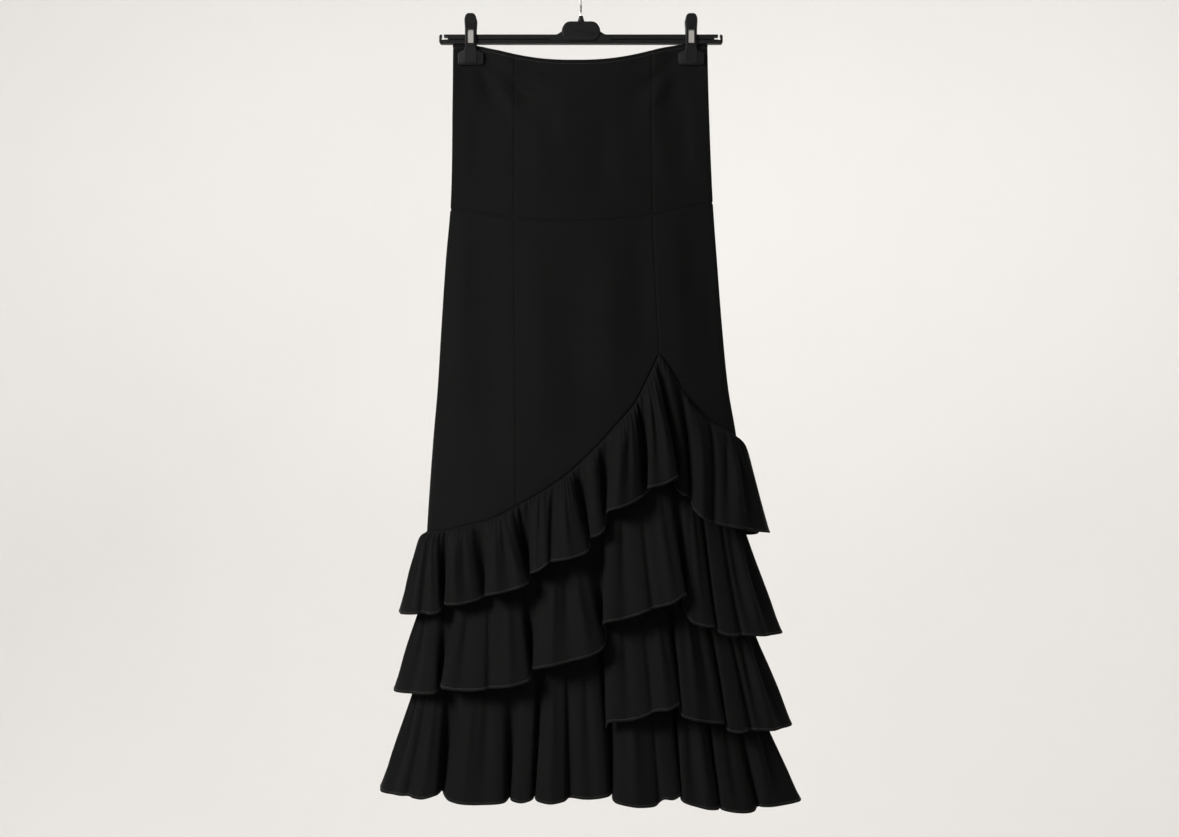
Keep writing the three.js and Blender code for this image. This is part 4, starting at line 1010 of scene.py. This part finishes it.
def buildBar():
    half, top, bottom, corner = (hanger[k] for k in ("halfLength", "barTop", "barBottom", "barCorner"))
    depth, reach, through = hanger["barHalfDepth"], hanger["fairing"], hanger["through"]
    eyeX, eyeZ = hanger["eyeX"], hanger["eyeZ"]
    ends = roundCorners([(half, bottom), (half, top), (-half, top), (-half, bottom)], [corner] * 4)
    bar = solidMesh("hanger_bar_moulded", plate(ends, -depth, depth), plasticLook)
    # webs sweep up from the bar to the pad
    run, climb, curve, foot = (hanger[k] for k in ("webRun", "webRise", "webCurve", "webFoot"))
    rise = [(reach - run * t, top - foot + climb * t ** curve) for t in np.linspace(0, 1, 9)]
    web = [(0, top - hanger["webRoot"])] + rise + [(-x, z) for x, z in rise[::-1]]
    webDepth = depth - hanger["webInset"]
    combine(bar, "UNION", [plate(web, -webDepth, webDepth)])
    cuts = []
    for face in (-1, 1):
        for end in (-1, 1):
            cuts.append(block(bothWays(hanger["grooveHalf"], reach + 1, end),
                              (face * (depth - hanger["grooveDepth"]), face * (depth + 1)),
                              (hanger["grooveBottom"], hanger["grooveTop"])))
        cuts.append(plate(padOutline(-hanger["padGap"]),
                          *bothWays(depth - hanger["padGapDepth"], depth + 1, face)))
    for end in (-1, 1):
        # an eye near each end, open to the middle by a slit and to the top by a notch
        eye = [(end * x, z) for x, z in circle(hanger["eyeRadius"], hanger["roundSides"], eyeX, eyeZ)]
        cuts.append(plate(eye, -through, through))
        cuts.append(block(bothWays(hanger["slitEnd"], eyeX, end), (-through, through),
                          (eyeZ - hanger["slitHalf"], eyeZ + hanger["slitHalf"])))
        cuts.append(block(bothWays(*hanger["notchX"], end), (-through, through), (eyeZ, top + 1)))
    combine(bar, "DIFFERENCE", cuts)
    # the pad's faces stand proud of the bar, with a sloping edge
    outer, bevel, edge = hanger["padHalfDepth"], hanger["padBevel"], hanger["padEdge"]
    pad = loft([[(x, y, z) for x, z in padOutline(inset)]
                for y, inset in ((-outer, bevel), (-outer + edge, 0), (outer - edge, 0), (outer, bevel))])
    combine(bar, "UNION", [pad])
    radius, bossTop, shallow = hanger["bossRadius"], hanger["bossTop"], outer - hanger["bossDepth"]
    boss = [(-radius, bossTop)] + arc(0, hanger["bossZ"], radius, 180, 360, 10) + [(radius, bossTop)]
    combine(bar, "DIFFERENCE", [plate(boss, *bothWays(shallow, outer + 1, side)) for side in (-1, 1)])
    softEdges(bar, hanger["edgeRound"])
    neck = loft([[(x, y, z) for x, y in circle(radius, hanger["roundSides"])] for z, radius in neckSteps])
    bore = loft([[(x, y, z) for x, y in circle(hanger["bore"], hanger["boreSides"])]
                 for z in hanger["boreEnds"]])
    combine(bar, "UNION", [neck])
    return combine(bar, "DIFFERENCE", [bore])


def tube(path, radii, sides):
    # round tube along a path in millimetres with a radius at each point
    path = np.asarray(path, float)
    forward = unit(np.gradient(path, axis=0))
    side = unit(np.cross(forward, (1.0, 0.0, 0.0)))
    up = np.cross(side, forward)
    rings = []
    for point, across, lift, radius in zip(path, side, up, radii):
        rings.append([tuple(point + radius * (across * math.cos(turn) + lift * math.sin(turn)))
                      for turn in (2 * math.pi * k / sides for k in range(sides))])
    return loft(rings)


def buildHook():
    centre = hanger["loop"] + hanger["wire"]
    knots = []
    for degrees in range(hanger["tipAngle"], hanger["throatAngle"] + 1, hanger["angleStep"]):
        angle = math.radians(degrees)
        knots.append((0, centre * math.cos(angle), centre * math.sin(angle) - hanger["loop"]))
    knots += hanger["stem"]
    knots = np.array(knots)
    padded = np.vstack([2 * knots[0] - knots[1], knots, 2 * knots[-1] - knots[-2]])
    path = []
    for k in range(len(knots) - 1):
        p0, p1, p2, p3 = padded[k:k + 4]
        for t in np.linspace(0, 1, hanger["wireSteps"] + 1)[:-1]:
            path.append(0.5 * (2 * p1 + (p2 - p0) * t + (2 * p0 - 5 * p1 + 4 * p2 - p3) * t ** 2
                               + (3 * p1 - p0 - 3 * p2 + p3) * t ** 3))
    path = np.array(path + [knots[-1]])
    # the tip is rounded off over its own radius
    fromTip = runLengths(path[None], 1)[0]
    rounding = np.clip(fromTip / hanger["wire"], 0, 1)
    radii = hanger["wire"] * np.sqrt(np.maximum(1 - (1 - rounding) ** 2, hanger["tipBlunt"]))
    hook = solidMesh("hanger_hook_wire", tube(path, radii, hanger["wireSides"]), steelLook)
    smoothShade(hook.data)
    return hook


clip = {"x": 140, "slotHalf": 3.9, "slotTop": -56.9, "slotBottom": -76.8, "panelHalf": 7.2,
        "springThickness": 0.8, "springTop": -57.4, "springBottom": -76.4, "springOuter": 7.6,
        "springBend": 3.8, "springHalf": 3.6, "springNeck": 3.1, "springBendHalf": 3.4,
        "springCrease": 0.6, "springRound": 0.15, "cornerRound": 1.1, "cornerShare": 0.49,
        "crownInset": 0.3, "edgeRound": 0.35, "slotDepth": 20, "panelFaces": (5.6, 7.7),
        "panelRound": 1.2, "ribs": (-52.4, -54.4), "ribHalf": (4.6, 0.6, 0.45), "railWidth": 1.3,
        "railFaces": (7.4, 9.2), "railEnds": (-78.2, -56.4), "sillFaces": (7.2, 8.6),
        "sillEnds": (-79.4, -77.6)}
# The raised centre panel's corners: across, height.
gripPanel = [(-7.2, -101.6), (7.2, -101.6), (7.2, -87), (5.6, -81.5), (-5.6, -81.5), (-7.2, -87)]
# Height, half width, outer face, inner face of a jaw from its finger tab to its gripping pad, and
# how far the outer face slopes back towards the sides.
jawSections = [
    (-39.2, 2.4, 10.2, 9.2, 0), (-39.5, 3.7, 10.6, 8.8, 0), (-40.2, 5.0, 10.9, 8.4, 0.1),
    (-41.4, 6.1, 11, 8, 0.3), (-43.3, 7.0, 10.9, 7.7, 0.6), (-45.5, 7.6, 10.5, 7.2, 0.8),
    (-48, 7.8, 10.1, 6.8, 0.9),
    (-52, 7.6, 9.4, 6.1, 0.9), (-56, 7.3, 8.9, 5.4, 0.8), (-60, 7.2, 8.5, 4.9, 0.6),
    (-77.6, 7.3, 8.3, 4.9, 0.6), (-80.5, 7.3, 7.7, 3.6, 0.6), (-82.6, 7.5, 7.3, 3.2, 0.7),
    (-84.2, 8.0, 7.1, 3.0, 0.7), (-85.4, 9.5, 7.1, 2.9, 0.7), (-86.8, 12.2, 7.1, 2.85, 0.8),
    (-88.1, 14.9, 7.1, 2.8, 0.9), (-89.2, 16.1, 7.1, 2.75, 1.0), (-90.5, 16.4, 7, 2.7, 1.0),
    (-96, 16.4, 6.8, 2.7, 1.0), (-101.2, 16.4, 6.5, 2.7, 0.9), (-102.4, 16.0, 6.1, 2.7, 0.8),
    (-103.2, 15.2, 5.5, 2.75, 0.6), (-103.7, 14.0, 4.9, 2.8, 0.4),
]


def jawRing(halfWidth, outer, inner, slope):
    # a rounded bar's section with a flat middle face and sides sloping back
    sideOuter = outer - slope
    radius = min(clip["cornerRound"], (sideOuter - inner) * clip["cornerShare"])
    right = (arc(halfWidth - radius, inner + radius, radius, -90, 0, 4)
             + arc(halfWidth - radius, sideOuter - radius, radius, 0, 90, 4))
    crown = min(clip["panelHalf"], halfWidth - radius - clip["crownInset"])
    return right + [(crown, outer), (-crown, outer)] + [(-x, y) for x, y in right[::-1]]


def buildJaw(name, centreX, side):
    rings = [[(centreX + x, side * y, z) for x, y in jawRing(*sizes)] for z, *sizes in jawSections]
    jaw = solidMesh(name, loft(rings), plasticLook)
    left, right = centreX - clip["slotHalf"], centreX + clip["slotHalf"]
    combine(jaw, "DIFFERENCE", [block((left, right), (0, side * clip["slotDepth"]),
                                      (clip["slotBottom"], clip["slotTop"]))])
    # raised centre panel over the gripping pad, low ribs on the finger tab, rails beside the slot
    panel = roundCorners([(centreX + x, z) for x, z in gripPanel], [clip["panelRound"]] * 6, 3)
    raised = [plate(panel, *bothWays(*clip["panelFaces"], side))]
    heights, faces = ([row[k] for row in jawSections[::-1]] for k in (0, 2))
    ribAcross, ribRise, ribTall = clip["ribHalf"]
    for z in clip["ribs"]:
        face = side * float(np.interp(z, heights, faces))
        raised.append(block((centreX - ribAcross, centreX + ribAcross), (face - ribRise, face + ribRise),
                            (z - ribTall, z + ribTall)))
    rail = clip["railWidth"]
    for low, high in ((left - rail, left), (right, right + rail)):
        raised.append(block((low, high), bothWays(*clip["railFaces"], side), clip["railEnds"]))
    raised.append(block((left - rail, right + rail), bothWays(*clip["sillFaces"], side), clip["sillEnds"]))
    combine(jaw, "UNION", raised)
    return softEdges(jaw, clip["edgeRound"])


def buildSpring(name, centreX):
    # a bent steel strip straddling the bar, a little narrower where it bends over the top
    outer, bend = clip["springOuter"], clip["springBend"]
    top, bottom = clip["springTop"], clip["springBottom"]
    wide, narrow, bentHalf = clip["springHalf"], clip["springNeck"], clip["springBendHalf"]
    crease = top - bend - clip["springCrease"]
    leg = [(bottom, wide), (crease - 0.5, wide), (crease, narrow), (crease + 0.4, bentHalf)]
    path = [(-outer, z, half) for z, half in leg]
    path += [(y, z, bentHalf) for y, z in arc(-outer + bend, top - bend, bend, 180, 90, 7)]
    path += [(-y, z, half) for y, z, half in path[::-1]]
    line = np.array([(y, z) for y, z, half in path])
    ahead = unit(np.gradient(line, axis=0))
    inward = np.stack([ahead[:, 1], -ahead[:, 0]], axis=1) * clip["springThickness"]
    rings = []
    for (y, z, half), (deepY, deepZ) in zip(path, inward):
        rings.append([(centreX - half, y, z), (centreX + half, y, z),
                      (centreX + half, y + deepY, z + deepZ), (centreX - half, y + deepY, z + deepZ)])
    return softEdges(solidMesh(name, loft(rings), steelLook), clip["springRound"], 50)


hangerPieces = {"hanger_bar": (buildBar(), "black_plastic"), "hanger_hook": (buildHook(), "bright_steel")}
for sideName, centreX in (("left", -clip["x"]), ("right", clip["x"])):
    for jawName, side in (("front_jaw", -1), ("back_jaw", 1)):
        nodeName = f"{sideName}_clip_{jawName}"
        hangerPieces[nodeName] = (buildJaw(nodeName + "_moulded", centreX, side), "black_plastic")
    nodeName = f"{sideName}_clip_spring"
    hangerPieces[nodeName] = (buildSpring(nodeName + "_strip", centreX), "bright_steel")
for nodeName, (piece, slotName) in hangerPieces.items():
    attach(piece, "root")
    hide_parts(nodeName)
print("hanger made")


# Sewing: one stitch a few millimetres long, repeated along each ruffle hem and each waist edge
sewing = {"pitch": 2.9, "stitchLength": 2.2, "thickness": 0.42, "shortest": 0.86, "longest": 1.06,
          "hemRow": -5, "hemLift": 0.5, "waistRow": 6, "waistLift": 0.42, "seed": 7}


def stitchTree():
    tree = bpy.data.node_groups.new("stitchLine", "GeometryNodeTree")
    face = tree.interface
    face.new_socket("Line", in_out="INPUT", socket_type="NodeSocketGeometry")
    for name in ("Pitch", "Stitch Length", "Thickness"):
        face.new_socket(name, in_out="INPUT", socket_type="NodeSocketFloat")
    face.new_socket("Seed", in_out="INPUT", socket_type="NodeSocketInt")
    face.new_socket("Thread", in_out="INPUT", socket_type="NodeSocketMaterial")
    face.new_socket("Stitches", in_out="OUTPUT", socket_type="NodeSocketGeometry")
    links = tree.links
    given, result = tree.nodes.new("NodeGroupInput"), tree.nodes.new("NodeGroupOutput")
    curve = tree.nodes.new("GeometryNodeMeshToCurve")
    points = node(tree, "GeometryNodeCurveToPoints", mode="LENGTH")
    ball = node(tree, "GeometryNodeMeshUVSphere", {"Segments": 6, "Rings": 4, "Radius": 0.5})
    vary = node(tree, "FunctionNodeRandomValue", data_type="FLOAT")
    vary.inputs[2].default_value, vary.inputs[3].default_value = sewing["shortest"], sewing["longest"]
    length = node(tree, "ShaderNodeMath", operation="MULTIPLY")
    scale = tree.nodes.new("ShaderNodeCombineXYZ")
    place = tree.nodes.new("GeometryNodeInstanceOnPoints")
    real = tree.nodes.new("GeometryNodeRealizeInstances")
    paint = tree.nodes.new("GeometryNodeSetMaterial")
    for start, end in (
        (given.outputs["Line"], curve.inputs["Mesh"]), (curve.outputs["Curve"], points.inputs["Curve"]),
        (given.outputs["Pitch"], points.inputs["Length"]),
        (given.outputs["Seed"], vary.inputs["Seed"]),
        (given.outputs["Stitch Length"], length.inputs[0]), (vary.outputs[1], length.inputs[1]),
        (given.outputs["Thickness"], scale.inputs["X"]), (given.outputs["Thickness"], scale.inputs["Y"]),
        (length.outputs[0], scale.inputs["Z"]),
        (points.outputs["Points"], place.inputs["Points"]), (ball.outputs["Mesh"], place.inputs["Instance"]),
        (points.outputs["Rotation"], place.inputs["Rotation"]), (scale.outputs[0], place.inputs["Scale"]),
        (place.outputs["Instances"], real.inputs["Geometry"]),
        (real.outputs["Geometry"], paint.inputs["Geometry"]),
        (given.outputs["Thread"], paint.inputs["Material"]),
        (paint.outputs["Geometry"], result.inputs["Stitches"]),
    ):
        links.new(start, end)
    return tree


stitchNodes = stitchTree()


def addStitches(name, middle, row, lift):
    line = middle[row] + gridNormals(middle)[row] * lift
    mesh = bpy.data.meshes.new(name)
    mesh.from_pydata((line * mm).tolist(), [(k, k + 1) for k in range(len(line) - 1)], [])
    piece = addObject(name, mesh)
    change = piece.modifiers.new("stitches", "NODES")
    change.node_group = stitchNodes
    wanted = {"Pitch": sewing["pitch"] * mm, "Stitch Length": sewing["stitchLength"] * mm,
              "Thickness": sewing["thickness"] * mm, "Seed": sewing["seed"], "Thread": threadLook}
    for socket in stitchNodes.interface.items_tree:
        if socket.name in wanted:
            change[socket.identifier] = wanted[socket.name]
    applied(piece)
    smoothShade(piece.data)
    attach(piece, "root")
    return piece


for name, (piece, middle) in cloth.items():
    if name.startswith("ruffle"):
        addStitches("hem_stitches_" + name, middle, sewing["hemRow"], sewing["hemLift"])
    elif name.startswith("yoke"):
        addStitches("waist_stitches_" + name, middle, sewing["waistRow"],
                                      sewing["waistLift"])
print("stitches sewn")


# How each piece of cloth was cut: width, length and flat area in metres, and how it hangs
cuts = {
    "yoke_front_left": (0.085, 0.213, 0.0172, "hung"),
    "yoke_front_center": (0.176, 0.211, 0.0361, "hung"),
    "yoke_front_right": (0.081, 0.212, 0.0157, "hung"),
    "yoke_back": (0.342, 0.213, 0.0691, "hung"),
    "body_front_left": (0.132, 0.412, 0.0416, "hung"),
    "body_front_center": (0.27, 0.364, 0.052, "hung"),
    "body_front_right": (0.156, 0.304, 0.0214, "hung"),
    "body_back": (0.432, 0.412, 0.1292, "hung"),
    "underskirt_front": (0.552, 0.407, 0.1065, "hung"),
    "underskirt_back": (0.453, 0.325, 0.1096, "hung"),
    "ruffle_1_front": (0.951, 0.174, 0.085, "gathered"),
    "ruffle_1_back": (0.742, 0.138, 0.0746, "gathered"),
    "ruffle_2_front": (0.877, 0.204, 0.0982, "gathered"),
    "ruffle_2_back": (0.747, 0.168, 0.0869, "gathered"),
    "ruffle_3_front": (0.397, 0.19, 0.048, "gathered"),
    "ruffle_3_back": (0.495, 0.155, 0.0526, "gathered"),
    "ruffle_4_front": (1.002, 0.216, 0.1229, "gathered"),
    "ruffle_4_back": (0.897, 0.168, 0.0982, "gathered"),
}
for name, (width, length, area, held) in cuts.items():
    piece = cloth[name][0]
    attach(piece, "root")
    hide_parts(name)

# Plain pale floor, rising all round into a soft bowl
studio = {"floorZ": -2.3, "floorRadius": 3.0, "curve": 1.4, "curveSteps": 12, "wallTop": 5.2,
          "sides": 96, "paint": (0.66, 0.648, 0.632), "darker": 0.97, "cloudScale": 1.4,
          "roughness": 0.95, "specular": 0.1, "world": (0.93, 0.95, 1.0), "worldStrength": 0.05}


def addBowl(values):
    radius, curve, steps, sides = (values[k] for k in ("floorRadius", "curve", "curveSteps", "sides"))
    profile = [(0.0, 0.0), (radius * 0.5, 0.0)]
    for k in range(steps + 1):
        angle = math.pi / 2 * k / steps
        profile.append((radius + curve * math.sin(angle), curve * (1 - math.cos(angle))))
    profile.append((radius + curve, values["wallTop"]))
    points, faces = [], []
    for across, height in profile:
        for k in range(sides):
            turn = 2 * math.pi * k / sides
            points.append((across * math.cos(turn), across * math.sin(turn), values["floorZ"] + height))
    for i in range(len(profile) - 1):
        for k in range(sides):
            a, b = i * sides + k, i * sides + (k + 1) % sides
            faces.append((a, b, b + sides, a + sides))
    mesh = bpy.data.meshes.new("studioFloor")
    mesh.from_pydata(points, [], faces)
    smoothShade(mesh)
    material, tree, shader = newMaterial("palePaint")
    place = node(tree, "ShaderNodeTexCoord")
    cloud = node(tree, "ShaderNodeTexNoise", {"Scale": values["cloudScale"], "Detail": 2.0})
    tree.links.new(place.outputs["Object"], cloud.inputs["Vector"])
    low = tuple(values["darker"] * part for part in values["paint"])
    paintColour(tree, shader, cloud.outputs["Fac"], (low, values["paint"]))
    shader.inputs["Roughness"].default_value = values["roughness"]
    shader.inputs["Specular IOR Level"].default_value = values["specular"]
    mesh.materials.append(material)
    addObject("studioFloor", mesh)


# Name: place, what it points at, width, height, watts, colour
lamps = {
    "keyLight": ((-2.25, -2.15, 0.65), (0.0, 0.0, -0.65), 1.1, 1.1, 165, (1.0, 0.985, 0.96)),
    "fillLight": ((2.3, -2.2, 0.3), (0.0, 0.0, -0.6), 1.6, 1.6, 2, (0.95, 0.97, 1.0)),
    "backLeftLight": ((-2.2, 2.3, 0.9), (0.0, 0.0, -0.6), 1.4, 1.4, 60, (1.0, 1.0, 1.0)),
    "backRightLight": ((2.2, 2.3, 0.9), (0.0, 0.0, -0.6), 1.4, 1.4, 14, (1.0, 1.0, 1.0)),
    "topLight": ((0.0, -0.4, 2.6), (0.0, 0.0, -0.6), 2.4, 2.4, 8, (1.0, 0.99, 0.97)),
    "wallLightBack": ((0.0, 1.5, 1.0), (0.0, 4.4, -0.6), 2.6, 1.6, 67, (1.0, 1.0, 1.0)),
    "wallLightFront": ((0.0, -1.5, 1.6), (0.0, -4.4, -0.6), 2.6, 1.0, 3, (1.0, 1.0, 1.0)),
    "wallLightLeft": ((-1.5, 0.0, 1.3), (-4.4, 0.0, -0.6), 1.0, 2.6, 12, (1.0, 1.0, 1.0)),
    "wallLightRight": ((1.5, 0.0, 1.3), (4.4, 0.0, -0.6), 1.0, 2.6, 8, (1.0, 1.0, 1.0)),
}


def addLamps():
    for name, (place, target, width, height, watts, colour) in lamps.items():
        data = bpy.data.lights.new(name, "AREA")
        data.shape = "RECTANGLE"
        data.size, data.size_y = width, height
        data.energy = watts
        data.color = colour
        lamp = bpy.data.objects.new(name, data)
        lamp.location = place
        lamp.visible_camera = False
        direction = Vector(target) - Vector(place)
        lamp.rotation_euler = direction.to_track_quat("-Z", "Y").to_euler()
        bpy.context.collection.objects.link(lamp)


def addWorld(values):
    world = bpy.data.worlds.new("softSky")
    world.use_nodes = True
    background = world.node_tree.nodes["Background"]
    background.inputs["Color"].default_value = (*values["world"], 1)
    background.inputs["Strength"].default_value = values["worldStrength"]
    bpy.context.scene.world = world
    bpy.context.scene.view_settings.view_transform = "Standard"


addBowl(studio)
addLamps()
addWorld(studio)
print("floor and lights placed")
